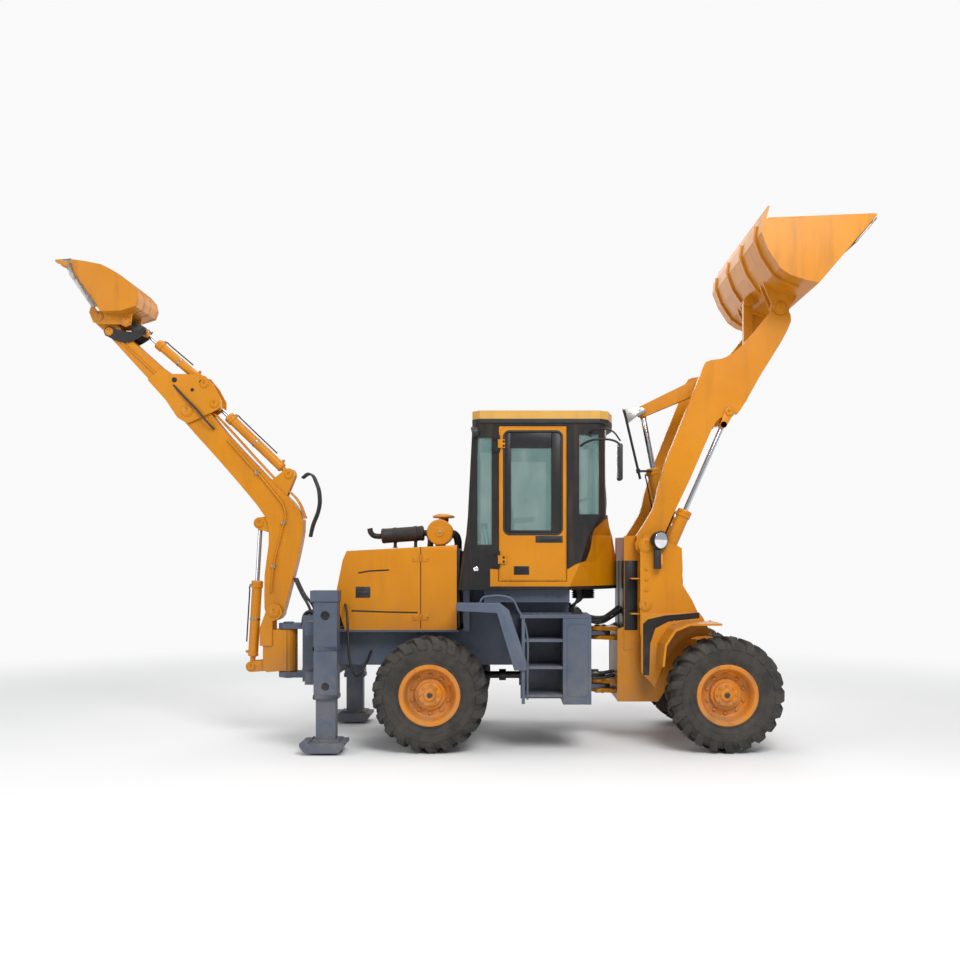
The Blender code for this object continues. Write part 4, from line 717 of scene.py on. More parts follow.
pinEnds = {
    "armFoot": ((1.358, 1.930), 0.565, 0.075, "front_frame"),
    "liftBase": ((1.350, 1.350), 0.565, 0.060, "front_frame"),
    "armTip": ((2.660, 4.230), 0.540, 0.055, "loader_bucket"),
    "liftEye": ((2.163, 3.212), 0.534, 0.040, "loader_arms"),
    "boomFoot": ((-2.328, 1.262), 0.115, 0.060, "swing_post"),
    "boomNose": ((-3.205, 3.288), 0.105, 0.062, "stick"),
    "stickRamEye": ((-2.930, 3.360), 0.105, 0.045, "stick"),
    "hoeRamBase": ((-3.030, 3.560), 0.105, 0.045, "stick"),
    "rockerFoot": ((-3.985, 4.085), 0.115, 0.042, "stick"),
    "stickTip": ((-4.080, 4.230), 0.150, 0.055, "hoe_bucket"),
    "bucketEar": ((-3.800, 4.185), 0.150, 0.045, "hoe_bucket"),
    "boomRamEye": ((-2.485, 2.159), 0.060, 0.045, "boom"),
    "boomRamBase": ((-2.570, 0.707), 0.060, 0.045, "swing_post"),
    "stickRamBase": ((-2.190, 2.650), 0.060, 0.045, "boom"),
}
for endName, (place, y, radius, body) in pinEnds.items():
    bothSides(lambda label, side: pinEnd(f"{endName}{label.title()}", place, y, side, radius, body))
print("pin ends made")


# engine hood trim, muffler and air cleaner
hoodBits = {"latch": ((-1.43, -1.29), (1.425, 1.530)), "stripe": 0.0012}


def stripe(name, points, width, y, finish, body):
    bm = bmesh.new()
    upper = [(p[0] + originX, p[1] + width / 2) for p in points]
    lower = [(p[0] + originX, p[1] - width / 2) for p in reversed(points)]
    addPlate(bm, upper + lower, sorted((y, y + math.copysign(hoodBits["stripe"], y))))
    return finishMesh(name, bm, finish, body, 30)


def hoodTrim(label, side):
    y = side * 0.600
    stripe(f"{label}UpperStripe", [(-1.405, 1.662), (-1.30, 1.680), (-1.11, 1.690)], 0.014, y, paintBlack,
           "rear_frame")
    stripe(f"{label}LowerStripe", [(-1.470, 1.300), (-1.15, 1.288), (-0.835, 1.282)], 0.014, y, paintBlack,
           "rear_frame")
    stripe(f"{label}HoodSeam", [(-0.812, 1.52), (-0.804, 1.52)], 0.78, y, sealRubber, "rear_frame")
    (x0, x1), (z0, z1) = hoodBits["latch"]
    boxPiece(f"{label}HoodLatch", ((x0 + originX, x1 + originX), span(side, 0.598, 0.606), (z0, z1)),
             mouldedBlack, "rear_frame", 35, 0.004)
    boxPiece(f"{label}HoodPull",
             ((x0 + originX + 0.03, x1 + originX - 0.03), span(side, 0.604, 0.616),
              (z0 + 0.042, z1 - 0.042)), darkSteel, "rear_frame", 35, 0.003)
    bm = bmesh.new()
    for z in (1.24, 1.80):
        for dx in (-0.05, 0.05):
            addBox(bm, (-0.808 + originX + dx - 0.028, -0.808 + originX + dx + 0.028),
                   span(side, 0.599, 0.605), (z - 0.03, z + 0.03))
        addRod(bm, at(-0.808, side * 0.606, z - 0.032), at(-0.808, side * 0.606, z + 0.032), 0.008,
               segments=16)
        for dx in (-0.065, 0.065):
            addHex(bm, at(-0.808 + dx, side * 0.605, z), (0, side, 0), 0.007, 0.005)
    finishMesh(f"{label}HoodHinges", bm, paintYellow, "rear_frame", 35, 0.001)


bothSides(hoodTrim)


def rearGrille():
    bm = bmesh.new()
    rows = 9
    for i in range(rows):
        z = 1.22 + i * 0.058
        x = -1.603 if z < 1.50 else -1.603 + (z - 1.50) * 0.20
        turn = Matrix.Translation(at(x, 0, z)) @ Matrix.Rotation(math.radians(35), 4, "Y")
        addBox(bm, (-0.020, 0.012), (-0.40, 0.40), (-0.004, 0.004), turn)
    for y in (-0.41, 0.0, 0.41):
        addBox(bm, xSpan(-1.612, -1.590), (y - 0.010, y + 0.010), (1.20, 1.50))
    finishMesh("hoodRearLouvres", bm, paintBlack, "rear_frame", 35, 0.0015)


rearGrille()

mufflerLook = {"y": -0.28, "radius": 0.075}


def muffler():
    y, radius = mufflerLook["y"], mufflerLook["radius"]
    rear, front = at(-1.22, y, 2.022), at(-0.80, y, 2.052)
    axis = (front - rear).normalized()
    length = (front - rear).length
    bm = bmesh.new()
    can = [(0, 0.0), (radius - 0.018, 0.0), (radius - 0.006, 0.004), (radius, 0.014), (radius, 0.030),
           (radius - 0.0025, 0.034), (radius - 0.0025, length - 0.034), (radius, length - 0.030),
           (radius, length - 0.014), (radius - 0.006, length - 0.004), (radius - 0.018, length), (0, length)]
    addSpin(bm, can, rear, axis, 48, closed=False)
    for share in (0.32, 0.80):
        middle = rear + axis * length * share
        addSpin(bm, [(radius - 0.001, -0.014), (radius + 0.002, -0.014), (radius + 0.002, 0.014),
                     (radius - 0.001, 0.014)], middle, axis, 48)
        foot = middle.copy()
        foot.z = 1.905
        addBox(bm, (middle.x - 0.016, middle.x + 0.016), (y - 0.055, y + 0.055), (foot.z, foot.z + 0.012))
        addBox(bm, (middle.x - 0.016, middle.x + 0.016), (y - 0.006, y + 0.006),
               (foot.z, middle.z - radius + 0.004))
    obj = finishMesh("mufflerCan", bm, mufflerSteel, "rear_frame", 32)
    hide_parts("muffler")
    tail = [at(-1.205, y, 2.022), at(-1.255, y, 2.020), at(-1.300, y - 0.012, 2.030),
            at(-1.326, y - 0.026, 2.060),
            at(-1.333, y - 0.030, 2.098)]
    hose("mufflerTailPipe", tail, 0.027, mufflerSteel, "rear_frame", 10, 6)
    inlet = [at(-0.815, y, 2.050), at(-0.770, y, 2.050), at(-0.745, y + 0.01, 2.02),
             at(-0.740, y + 0.01, 1.905)]
    hose("mufflerInletPipe", inlet, 0.030, mufflerSteel, "rear_frame", 10, 6)


muffler()


def airCleaner():
    low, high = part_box("air_cleaner")
    x, y0, y1 = -0.636, low.y, high.y
    z = low.z + 0.132
    radius = 0.126
    bm = bmesh.new()
    width = y1 - y0
    can = [(0, 0.0), (0.040, 0.0), (0.048, 0.006), (0.090, 0.006), (0.104, 0.002), (radius - 0.008, 0.002),
           (radius, 0.010), (radius, 0.026), (radius - 0.003, 0.030), (radius - 0.003, 0.056), (radius,
                                                                                                0.060),
           (radius, 0.068), (radius - 0.003, 0.072), (radius - 0.003, width - 0.020), (radius - 0.010,
                                                                                       width - 0.004),
           (radius - 0.030, width), (0, width)]
    addSpin(bm, can, at(x, y0, z), (0, 1, 0), 56, closed=False)
    stack = at(x + 0.03, -0.29, z)
    neck = [(0, 0.0), (0.046, 0.0), (0.046, 0.135), (0.050, 0.140), (0.050, 0.150), (0.046, 0.155),
            (0.046, 2.205 - z), (0, 2.205 - z)]
    addSpin(bm, neck, stack, (0, 0, 1), 40, closed=False)
    cap = [(0, 0.0), (0.098, -0.004), (0.108, 0.002), (0.110, 0.010), (0.104, 0.016), (0.080, 0.028),
           (0.040, 0.038), (0, 0.0405)]
    addSpin(bm, cap, at(x + 0.03, -0.29, 2.204), (0, 0, 1), 48, closed=False)
    addBox(bm, (x + originX - 0.05, x + originX + 0.05), (-0.35, -0.23), (low.z + 0.001, low.z + 0.012))
    addBox(bm, (x + originX - 0.04, x + originX + 0.04), (-0.30, -0.28), (low.z + 0.004, z - radius + 0.02))
    obj = finishMesh("airCleanerCan", bm, paintYellow, "rear_frame", 30)
    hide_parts("air_cleaner")
    clips = bmesh.new()
    for i in range(3):
        angle = math.radians(90 + 120 * i)
        place = at(x + math.cos(angle) * radius, y0 + 0.044, z + math.sin(angle) * radius)
        turn = Matrix.Translation(place) @ Matrix.Rotation(-angle, 4, "Y")
        addBox(clips, (-0.003, 0.006), (-0.026, 0.026), (-0.011, 0.011), turn)
    addHex(clips, at(x, y0 + 0.001, z), (0, -1, 0), 0.012, 0.008)
    finishMesh("airCleanerClips", clips, zincBolt, "rear_frame", 30, 0.001)
    # black marks around the stack's neck are painted shade in the intake slots
    slots = bmesh.new()
    for i in range(16):
        angle = math.tau * i / 16
        place = at(x + 0.03 + math.cos(angle) * 0.0465, -0.29 + math.sin(angle) * 0.0465, 2.185)
        turn = Matrix.Translation(place) @ Matrix.Rotation(angle, 4, "Z")
        addBox(slots, (-0.002, 0.0025), (-0.004, 0.004), (-0.016, 0.014), turn)
    finishMesh("airIntakeSlotShade", slots, paintBlack, "rear_frame", 30)
    duct = [at(x + 0.09, -0.20, z), at(x + 0.14, -0.18, z - 0.02), at(x + 0.165, -0.16, z - 0.08),
            at(x + 0.165, -0.15, 1.905)]
    hose("airDuct", duct, 0.038, hoseRubber, "rear_frame", 10, 6)


airCleaner()
print("hood, muffler and air cleaner made")


# cab: seals, handles, vents, lamps, mirrors, wipers
def ring(bm, x, z, y, wide, round_=0.05, steps=6):
    # a rounded rectangular frame, wide on its face and y through
    def outline(grow):
        points = []
        r = round_ + grow
        for cx, cz, start in ((x[1] - round_, z[1] - round_, 0), (x[0] + round_, z[1] - round_, 90),
                              (x[0] + round_, z[0] + round_, 180), (x[1] - round_, z[0] + round_, 270)):
            for i in range(steps + 1):
                a = math.radians(start + 90 * i / steps)
                points.append((cx + r * math.cos(a), cz + r * math.sin(a)))
        return points
    loops = []
    for grow in (0.0, wide):
        loop = [bm.verts.new((px, y[0], pz)) for px, pz in outline(grow)]
        loops.append([bm.edges.new(pair) for pair in zip(loop, loop[1:] + loop[:1])])
    face = bmesh.ops.bridge_loops(bm, edges=loops[0] + loops[1])["faces"]
    grown = bmesh.ops.extrude_face_region(bm, geom=face)["geom"]
    bmesh.ops.translate(bm, vec=(0, y[1] - y[0], 0),
                        verts=[v for v in grown if isinstance(v, bmesh.types.BMVert)])


def cabSide(label, side):
    door, shell = f"{label}_door", "rear_frame"
    bm = bmesh.new()
    ring(bm, xSpan(0.0, 0.532), (2.04, 3.00), span(side, 0.655, 0.6835), 0.020, 0.045)
    finishMesh(f"{label}DoorSeal", bm, sealRubber, door, 35, 0.003)
    bm = bmesh.new()
    for x, z in (((-0.002, 0.058), (2.035, 3.005)), ((0.440, 0.534), (2.035, 3.005)),
                 ((0.050, 0.450), (2.850, 3.005)), ((0.050, 0.450), (2.035, 2.068))):
        addBox(bm, (x[0] + originX, x[1] + originX), span(side, 0.6655, 0.6720), z)
    finishMesh(f"{label}DoorInnerFrame", bm, paintBlack, door, 35, 0.002)
    bm = bmesh.new()
    addBox(bm, xSpan(0.290, 0.548), span(side, 0.679, 0.684), (1.950, 2.015))
    addBox(bm, xSpan(0.330, 0.500), span(side, 0.690, 0.703), (1.975, 1.999))
    for x in (0.335, 0.485):
        addBox(bm, (x + originX, x + originX + 0.018), span(side, 0.683, 0.700), (1.978, 1.996))
    addRod(bm, at(0.524, side * 0.683, 1.985), at(0.524, side * 0.691, 1.985), 0.014, segments=24)
    finishMesh(f"{label}DoorHandle", bm, mouldedBlack, door, 35, 0.003)
    bm = bmesh.new()
    addBox(bm, xSpan(0.084, 0.230), span(side, 0.678, 0.682), (1.645, 1.728))
    for i in range(5):
        z = 1.660 + i * 0.0145
        turn = Matrix.Translation((0.157 + originX, side * 0.684, z)) @ Matrix.Rotation(side * -0.6, 4, "X")
        addBox(bm, (-0.064, 0.064), (-0.005, 0.005), (-0.0018, 0.0018), turn)
    finishMesh(f"{label}DoorVent", bm, mouldedBlack, door, 35, 0.001)
    bm = bmesh.new()
    ring(bm, xSpan(-0.045, 0.572), (1.600, 3.042), span(side, 0.679, 0.6825), 0.004, 0.05)
    finishMesh(f"{label}DoorFold", bm, paintYellow, door, 35, 0.001)
    bm = bmesh.new()
    for z in (1.75, 2.85):
        for dx, low in ((0.045, z), (-0.030, z - 0.04), (-0.030, z + 0.083)):
            height = 0.08 if dx > 0 else 0.037
            for share in ((0.25, 0.75) if dx > 0 else (0.5,)):
                addHex(bm, at(-0.057 + dx, side * 0.696, low + height * share), (0, side, 0), 0.008, 0.006)
    finishMesh(f"{label}HingeBolts", bm, paintBlack, shell, 30)
    bm = bmesh.new()
    addSpin(bm, [(0, -0.03), (0.024, -0.03), (0.024, 0.004), (0.016, 0.010), (0, 0.011)],
            at(-0.275, side * 0.6785, 1.700), (0, side, 0), 24, closed=False)
    finishMesh(f"{label}CabSideLamp", bm, silverBowl, shell, 35)
    for end, x, tilt in (("Rear", -0.285, -1), ("Front", 0.80, 1)):
        bm = bmesh.new()
        y = side * (0.66 if tilt < 0 else 0.62)
        addSpin(bm, [(0, -0.050), (0.030, -0.048), (0.050, -0.030), (0.056, 0.000), (0.058, 0.026),
                     (0.052, 0.030),
                     (0.050, 0.024), (0, 0.024)], at(x, y, 3.00), (tilt, 0, -0.25), 36, closed=False)
        addBox(bm, (x + originX - 0.012, x + originX + 0.012), (y - 0.02, y + 0.02), (3.045, 3.102))
        finishMesh(f"{label}{end}WorkLampShell", bm, mouldedBlack, shell, 30)
        bm = bmesh.new()
        addSpin(bm, [(0, 0.0262), (0.034, 0.0258), (0.0500, 0.0235), (0, 0.0235)], at(x, y, 3.00),
                (tilt, 0, -0.25), 36, closed=False)
        finishMesh(f"{label}{end}WorkLampLens", bm, silverBowl, shell, 30)
    arm = [at(0.700, side * 0.640, 2.860), at(0.78, side * 0.72, 2.905), at(0.90, side * 0.82, 2.915),
           at(1.02, side * 0.900, 2.890), at(1.070, side * 0.930, 2.850)]
    hose(f"{label}MirrorArm", arm, 0.010, paintBlack, shell, 10, 4)
    brace = [at(0.760, side * 0.640, 2.985), at(0.88, side * 0.76, 3.020), at(1.00, side * 0.87, 2.985),
             at(1.068, side * 0.925, 2.890)]
    hose(f"{label}MirrorBrace", brace, 0.008, paintBlack, shell, 10, 4)
    boxPiece(f"{label}MirrorShell", (xSpan(1.040, 1.085), span(side, 0.865, 0.995), (2.520, 2.860)),
             mouldedBlack, shell, 35, 0.016)
    boxPiece(f"{label}MirrorGlass", (xSpan(1.0365, 1.0405), span(side, 0.882, 0.978), (2.540, 2.840)),
             silverBowl, shell, 35, 0.0015)


bothSides(cabSide)


def cabEnds():
    bm = bmesh.new()
    roof = [(-0.312, -0.60), (-0.24, -0.69), (0.90, -0.69), (0.985, -0.62), (1.05, -0.35), (1.08, 0)]
    low, high, grow = 3.084, 3.128, 0.0015
    outline = [(x + originX + (grow if x > 0 else -grow), y - grow) for x, y in roof]
    outline += [(x, -y) for x, y in reversed(outline[:-1])]
    base = [bm.verts.new((x, y, low)) for x, y in outline]
    grown = bmesh.ops.extrude_face_region(bm, geom=[bm.faces.new(base)])["geom"]
    bmesh.ops.translate(bm, vec=(0, 0, high - low),
                        verts=[v for v in grown if isinstance(v, bmesh.types.BMVert)])
    finishMesh("roofSeal", bm, sealRubber, "rear_frame", 35, 0.003)
    bm = bmesh.new()
    for x, wide in ((0.10, 0.34), (0.62, 0.30)):
        addBox(bm, (x + originX - wide / 2, x + originX + wide / 2), (-0.42, 0.42), (3.2035, 3.2048))
    finishMesh("roofPressings", bm, paintRoof, "rear_frame", 35)
    for name, x, z0, z1, lean in (("front", 1.025, 2.26, 2.86, -0.03), ("rear", -0.350, 2.10, 2.70, 0.045)):
        arm = [at(x, 0.02, z0), at(x + lean * 0.3 + (0.022 if x > 0 else -0.022), 0.10, z0 + 0.15),
               at(x + lean + (0.012 if x > 0 else -0.012), 0.30, z1)]
        hose(f"{name}WiperArm", arm, 0.006, paintBlack, "rear_frame", 8, 3)
    bm = bmesh.new()
    plateX = -0.449
    addBox(bm, (plateX + originX - 0.004, plateX + originX), (-0.22, 0.22), (1.66, 1.77))
    finishMesh("blankPlate", bm, mouldedGrey, "rear_frame", 35, 0.0012)


cabEnds()
print("cab trim made")


# seat: two padded vinyl cushions on the seat's own box
def padShape(name, x, y, z, lean):
    bm = bmesh.new()
    bmesh.ops.create_cube(bm, size=1)
    bmesh.ops.subdivide_edges(bm, edges=bm.edges[:], cuts=5, use_grid_fill=True)
    middle = Vector((sum(x) / 2, sum(y) / 2, sum(z) / 2))
    size = Vector((x[1] - x[0], y[1] - y[0], z[1] - z[0]))
    for v in bm.verts:
        u = v.co * 2
        pull = 1 - 0.07 * (u.y * u.y) * (1 if abs(u.x) > 0.99 or abs(u.z) > 0.99 else 0.6)
        crown = (1 - u.x ** 2) * (1 - u.y ** 2) if size.z < size.x else (1 - u.z ** 2) * (1 - u.y ** 2)
        thick = 2 if size.z < size.x else 0
        place = Vector((v.co.x * size.x * pull, v.co.y * size.y, v.co.z * size.z * pull))
        if v.co[thick] > 0.45:
            place[thick] += crown * 0.022
        place.x += (place.z + size.z / 2) * lean
        v.co = place + middle
    obj = finishMesh(name, bm, seatCover, None, 180)
    smooth = obj.modifiers.new("round", "SUBSURF")
    smooth.levels = smooth.render_levels = 2
    return obj


def bakeModifiers(obj):
    mesh = bpy.data.meshes.new_from_object(obj.evaluated_get(bpy.context.evaluated_depsgraph_get()))
    obj.modifiers.clear()
    obj.data = mesh


def puffed(obj, cap=0.010):
    # a short cloth run with air pressure gives the cushion its pulled edges
    bakeModifiers(obj)
    mesher = obj.modifiers.new("even", "REMESH")
    mesher.mode = "VOXEL"
    mesher.voxel_size = 0.006
    bakeModifiers(obj)
    rest = [v.co.copy() for v in obj.data.vertices]
    cloth = obj.modifiers.new("air", "CLOTH")
    cloth.settings.use_pressure = True
    cloth.settings.uniform_pressure_force = 4.0
    cloth.settings.effector_weights.gravity = 0
    scene = bpy.context.scene
    for step in range(1, 16):
        scene.frame_set(step)
    bakeModifiers(obj)
    scene.frame_set(1)
    for v, home in zip(obj.data.vertices, rest):
        moved = v.co - home
        if moved.length > cap:
            v.co = home + moved.normalized() * cap
    smooth = obj.modifiers.new("round", "SUBSURF")
    smooth.levels = smooth.render_levels = 1
    bakeModifiers(obj)
    if not obj.data.materials:
        obj.data.materials.append(seatCover)
    obj.data.polygons.foreach_set("use_smooth", [True] * len(obj.data.polygons))


low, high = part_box("seat_cushion")
cushion = padShape("seatPad", (low.x + 0.10, high.x - 0.02), (low.y + 0.018, high.y - 0.018), (1.908, 2.004),
                   0.0)
puffed(cushion)
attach(cushion, "rear_frame")
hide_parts("seat_cushion")
backrest = padShape("seatBackPad", (low.x + 0.115, low.x + 0.190), (low.y + 0.025, high.y - 0.025),
                    (2.030, 2.545), -0.17)
puffed(backrest)
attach(backrest, "rear_frame")
bm = bmesh.new()
turn = Matrix.Translation((low.x + 0.060, 0, 2.26)) @ Matrix.Rotation(-0.168, 4, "Y")
addBox(bm, (-0.020, 0.012), (-0.17, 0.17), (-0.30, 0.22), turn)
addBox(bm, (low.x + 0.06, low.x + 0.13), (-0.06, 0.06), (1.905, 2.00))
finishMesh("seatBackShell", bm, mouldedBlack, "rear_frame", 35, 0.012)
for side in (-1, 1):
    bm = bmesh.new()
    addRod(bm, (low.x + 0.115, side * 0.205, 2.18), (low.x + 0.40, side * 0.218, 2.20), 0.022, 0.020, 20)
    finishMesh("seatArmRight" if side < 0 else "seatArmLeft", bm, mouldedBlack, "rear_frame", 35, 0.008)
print("seat made")


# controls: dashboard gauges, levers with knobs, steering boss
def controls():
    bm = bmesh.new()
    for y in (-0.11, 0.0, 0.11):
        addSpin(bm, [(0, 0.006), (0.030, 0.006), (0.034, 0.010), (0.038, 0.004), (0.038, -0.01), (0, -0.01)],
                at(0.80, y, 2.195), (-0.45, 0, 1), 28, closed=False)
    finishMesh("gaugeBezels", bm, mouldedGrey, "rear_frame", 30)
    for i, (x, y) in enumerate(((0.50, -0.30), (0.56, -0.34), (-0.16, -0.20), (-0.16, 0.20), (-0.20, 0.0))):
        stem = [at(x, y, 1.60), at(x + 0.01, y, 1.85), at(x - 0.03, y, 2.12)]
        hose(f"leverStem{i}", stem, 0.008, darkSteel, "rear_frame", 6, 3)
        knob = bmesh.new()
        addSpin(knob, [(0, -0.03), (0.010, -0.028), (0.014, 0.0), (0.020, 0.012), (0.020, 0.028),
                       (0.012, 0.038), (0, 0.041)], at(x - 0.032, y, 2.12), (-0.1, 0, 1), 20, closed=False)
        finishMesh(f"leverKnob{i}", knob, mouldedBlack, "rear_frame", 40)
    bm = bmesh.new()
    addSpin(bm, [(0, 0.026), (0.030, 0.022), (0.042, 0.010), (0.044, -0.010), (0, -0.012)],
            at(0.70, 0, 2.36), (-0.36, 0, 0.93), 32, closed=False)
    finishMesh("steeringBoss", bm, mouldedBlack, "rear_frame", 35)


controls()
print("controls made")


# front frame: headlamps, painted shade sheets in the towers, skirts and bands, cylinder lines, hitch plates
def frontSide(label, side):
    body = "front_frame"
    lampAt = at(1.478, side * 0.625, 1.975)
    lampFaces = Vector((0.50, side * 0.86, -0.06))
    bm = bmesh.new()
    addSpin(bm, [(0, -0.090), (0.040, -0.085), (0.072, -0.055), (0.086, -0.010), (0.090, 0.020),
                 (0.084, 0.030), (0.078, 0.022), (0, 0.022)], lampAt, lampFaces, 40, closed=False)
    addBox(bm, (lampAt.x - 0.050, lampAt.x + 0.014), span(side, 0.566, 0.640), (1.700, 1.905))
    finishMesh(f"{label}HeadlampShell", bm, mouldedBlack, body, 32, 0.004)
    bm = bmesh.new()
    addSpin(bm, [(0, 0.040), (0.040, 0.037), (0.078, 0.024), (0, 0.022)], lampAt, lampFaces, 40, closed=False)
    finishMesh(f"{label}HeadlampLens", bm, silverBowl, body, 32)
    boxPiece(f"{label}TurnLens",
             ((lampAt.x + 0.012, lampAt.x + 0.028), span(side, 0.585, 0.640),
              (1.74, 1.84)), amberLens, body, 32, 0.005)
    # black sheets across the tower's rear opening and on the inner face of its side plate are painted shade
    # in the hollow tower
    bm = bmesh.new()
    addBox(bm, xSpan(1.163, 1.166), span(side, 0.02, 0.394), (1.10, 1.78))
    addBox(bm, xSpan(1.170, 1.296), span(side, 0.3955, 0.3985), (1.10, 1.78))
    finishMesh(f"{label}TowerShadeSheet", bm, paintBlack, body, 35, 0.001)
    skirt = [(1.308, 1.275), (1.308, 0.709), (1.440, 0.560), (1.490, 0.700), (1.560, 0.860), (1.683, 0.985),
             (1.830, 1.050), (1.990, 1.060), (1.900, 1.240), (1.870, 1.275)]
    platePiece(f"{label}TowerSkirt", (inWorld(skirt), span(side, 0.5652, 0.5712)), paintYellow, body, 35,
               0.0015)
    band = [(1.327, 1.200), (1.372, 1.245), (1.535, 1.283), (1.868, 1.312), (1.868, 1.258), (1.570, 1.225),
            (1.445, 1.160), (1.396, 1.015), (1.385, 0.709), (1.327, 0.709)]
    platePiece(f"{label}TowerBand", ([(x + originX, z - 0.030) for x, z in band], span(side, 0.5710, 0.5735)),
               paintBlack, body, 35)
    bm = bmesh.new()
    for x, z in ((1.36, 1.50), (1.36, 1.60), (1.36, 1.70)):
        addHex(bm, at(x, side * 0.565, z), (0, side, 0), 0.014, 0.011)
    for x in (1.62, 1.75, 1.88, 1.96):
        addHex(bm, at(x, side * 0.62, 1.20), (0, 0, 1), 0.010, 0.008)
    finishMesh(f"{label}TowerBolts", bm, paintYellow, body, 30)
    bm = bmesh.new()
    for z0, z1 in ((1.26, 1.272), (1.60, 1.612)):
        addBox(bm, xSpan(1.215, 1.305), span(side, 0.395, 0.545), (z0, z1))
    finishMesh(f"{label}TowerGussets", bm, paintYellow, body, 35, 0.002)
    # flexible lines at the foot of each lift cylinder
    for i, (dz, reach) in enumerate(((0.0, 0.0), (0.035, 0.02))):
        loop = [at(1.42, side * (0.45 + i * 0.03), 1.20 + dz),
                at(1.50 + reach, side * (0.455 + i * 0.03), 1.28 + dz),
                at(1.515 + reach, side * (0.46 + i * 0.02), 1.42 + dz), at(1.47, side * 0.47, 1.55 + dz)]
        hose(f"{label}LiftHose{i}", loop, 0.012, hoseRubber, body, 10, 4)


bothSides(frontSide)


def articulationHoses():
    rows = [(-0.16, 1.28), (-0.09, 1.25), (0.02, 1.29), (0.10, 1.26), (0.17, 1.28)]
    for i, (y, z) in enumerate(rows):
        drop = 0.05 + 0.02 * (i % 3)
        route = [at(0.56, y * 1.2, z), at(0.68, y, z + 0.01), at(0.82, y * 0.8, z - drop),
                 at(0.97, y * 0.7, z - drop * 1.4), at(1.08, y * 0.8, z - drop * 0.6), at(1.19, y, z + 0.04)]
        bentHose(f"steeringHose{i}", route, 0.014 if i % 2 else 0.017)
    rows = [(-0.12, 0.63), (-0.04, 0.66), (0.05, 0.62), (0.12, 0.65)]
    for i, (y, z) in enumerate(rows):
        route = [at(0.60, y, z + 0.02), at(0.74, y * 1.1, z), at(0.90, y * 1.3, z - 0.03),
                 at(1.02, y * 1.2, z - 0.02), at(1.11, y, z)]
        bentHose(f"brakeHose{i}", route, 0.012)
    bm = bmesh.new()
    for z0, z1 in ((1.115, 1.128), (0.442, 0.455)):
        addRod(bm, at(0.97, 0, z0), at(0.97, 0, z1), 0.060, segments=36)
        for i in range(4):
            angle = math.tau * i / 4 + 0.4
            addHex(bm, at(0.97 + 0.045 * math.cos(angle), 0.045 * math.sin(angle), z1 if z0 > 1 else z0),
                   (0, 0, 1 if z0 > 1 else -1), 0.008, 0.006)
    finishMesh("hitchPinPlates", bm, zincBolt, "front_frame", 30, 0.001)


articulationHoses()
print("front frame made")


# loader arms, bell crank lines and bucket
def loaderSide(label, side):
    for i, offset in enumerate((0.0, 0.032)):
        y = side * 0.424
        route = [at(1.475 + offset, y, 2.12 - offset * 0.3), at(1.60 + offset, y, 2.42),
                 at(1.80 + offset, y, 2.88), at(2.02 + offset, y, 3.36), at(2.09 + offset, y, 3.46)]
        hose(f"{label}ArmLine{i}", route, 0.008, paintBlack, "loader_arms", 10, 3)
    clamps = bmesh.new()
    for x, z in ((1.62, 2.43), (1.82, 2.88), (2.00, 3.28)):
        addBox(clamps, (x + originX - 0.012, x + originX + 0.058), span(side, 0.412, 0.4305),
               (z - 0.015, z + 0.015))
    finishMesh(f"{label}ArmClamps", clamps, zincBolt, "loader_arms", 35, 0.002)
    bm = bmesh.new()
    addSpin(bm, [(0.068, 0.0), (0.082, 0.0), (0.082, 0.008), (0.078, 0.012), (0.068, 0.012)],
            at(2.080, side * 0.428, 3.400), (0, -side, 0), 40)
    finishMesh(f"{label}CrossTubeCollar", bm, paintYellow, "loader_arms", 35)


bothSides(loaderSide)


def crankCaps():
    for name, place in (("crankRear", (1.395, 3.293)), ("crankFront", (2.476, 3.602)),
                        ("crankPivot", (1.985, 3.561))):
        for side in (-1, 1):
            bm = bmesh.new()
            y, radius = (0.0925, 0.050) if name == "crankPivot" else (0.070, 0.036)
            addSpin(bm, [(0, 0.008), (radius * 0.6, 0.008), (radius * 0.8, 0.004), (radius, 0.003),
                         (radius, -0.002),
                         (0, -0.002)], at(place[0], side * y, place[1]), (0, side, 0), 32, closed=False)
            body = "loader_arms" if name == "crankPivot" else "bell_crank"
            finishMesh(f"{name}Cap{'Right' if side < 0 else 'Left'}", bm, paintYellow, body, 35)


crankCaps()


def levelRod():
    rod = [at(1.199, -0.105, 3.297), at(1.280, -0.105, 2.95), at(1.362, -0.105, 2.600)]
    hose("levelRod", rod, 0.013, paintBlack, "tilt_rod", 6, 4)
    bm = bmesh.new()
    arm = [(1.180, 3.310), (1.385, 3.325), (1.425, 3.300), (1.400, 3.262), (1.330, 3.235), (1.225, 3.150)]
    addPlate(bm, inWorld(arm), (-0.094, -0.088))
    finishMesh("levelRodArm", bm, zincBolt, "tilt_rod", 35, 0.002)
    bm = bmesh.new()
    addBox(bm, xSpan(1.352, 1.478), (-0.128, -0.064), (2.672, 2.690))
    addSpin(bm, [(0.0145, -0.02), (0.022, -0.02), (0.022, 0.02), (0.0145, 0.02)], at(1.343, -0.105, 2.682),
            (0.226, 0, -0.974), 24)
    finishMesh("levelRodGuide", bm, paintBlack, "tilt_barrel", 35)


levelRod()

bucketLook = {"ribs": (-0.86, -0.29, 0.29, 0.86)}
loaderBack = [(2.342, 4.893), (2.333, 4.775), (2.397, 4.611), (2.506, 4.447), (2.597, 4.383), (2.734, 4.337)]


def grownLine(points, distance):
    out = []
    for i, p in enumerate(points):
        a, b = points[max(i - 1, 0)], points[min(i + 1, len(points) - 1)]
        d = Vector((b[0] - a[0], b[1] - a[1])).normalized()
        out.append((p[0] - d.y * distance, p[1] + d.x * distance))
    return out


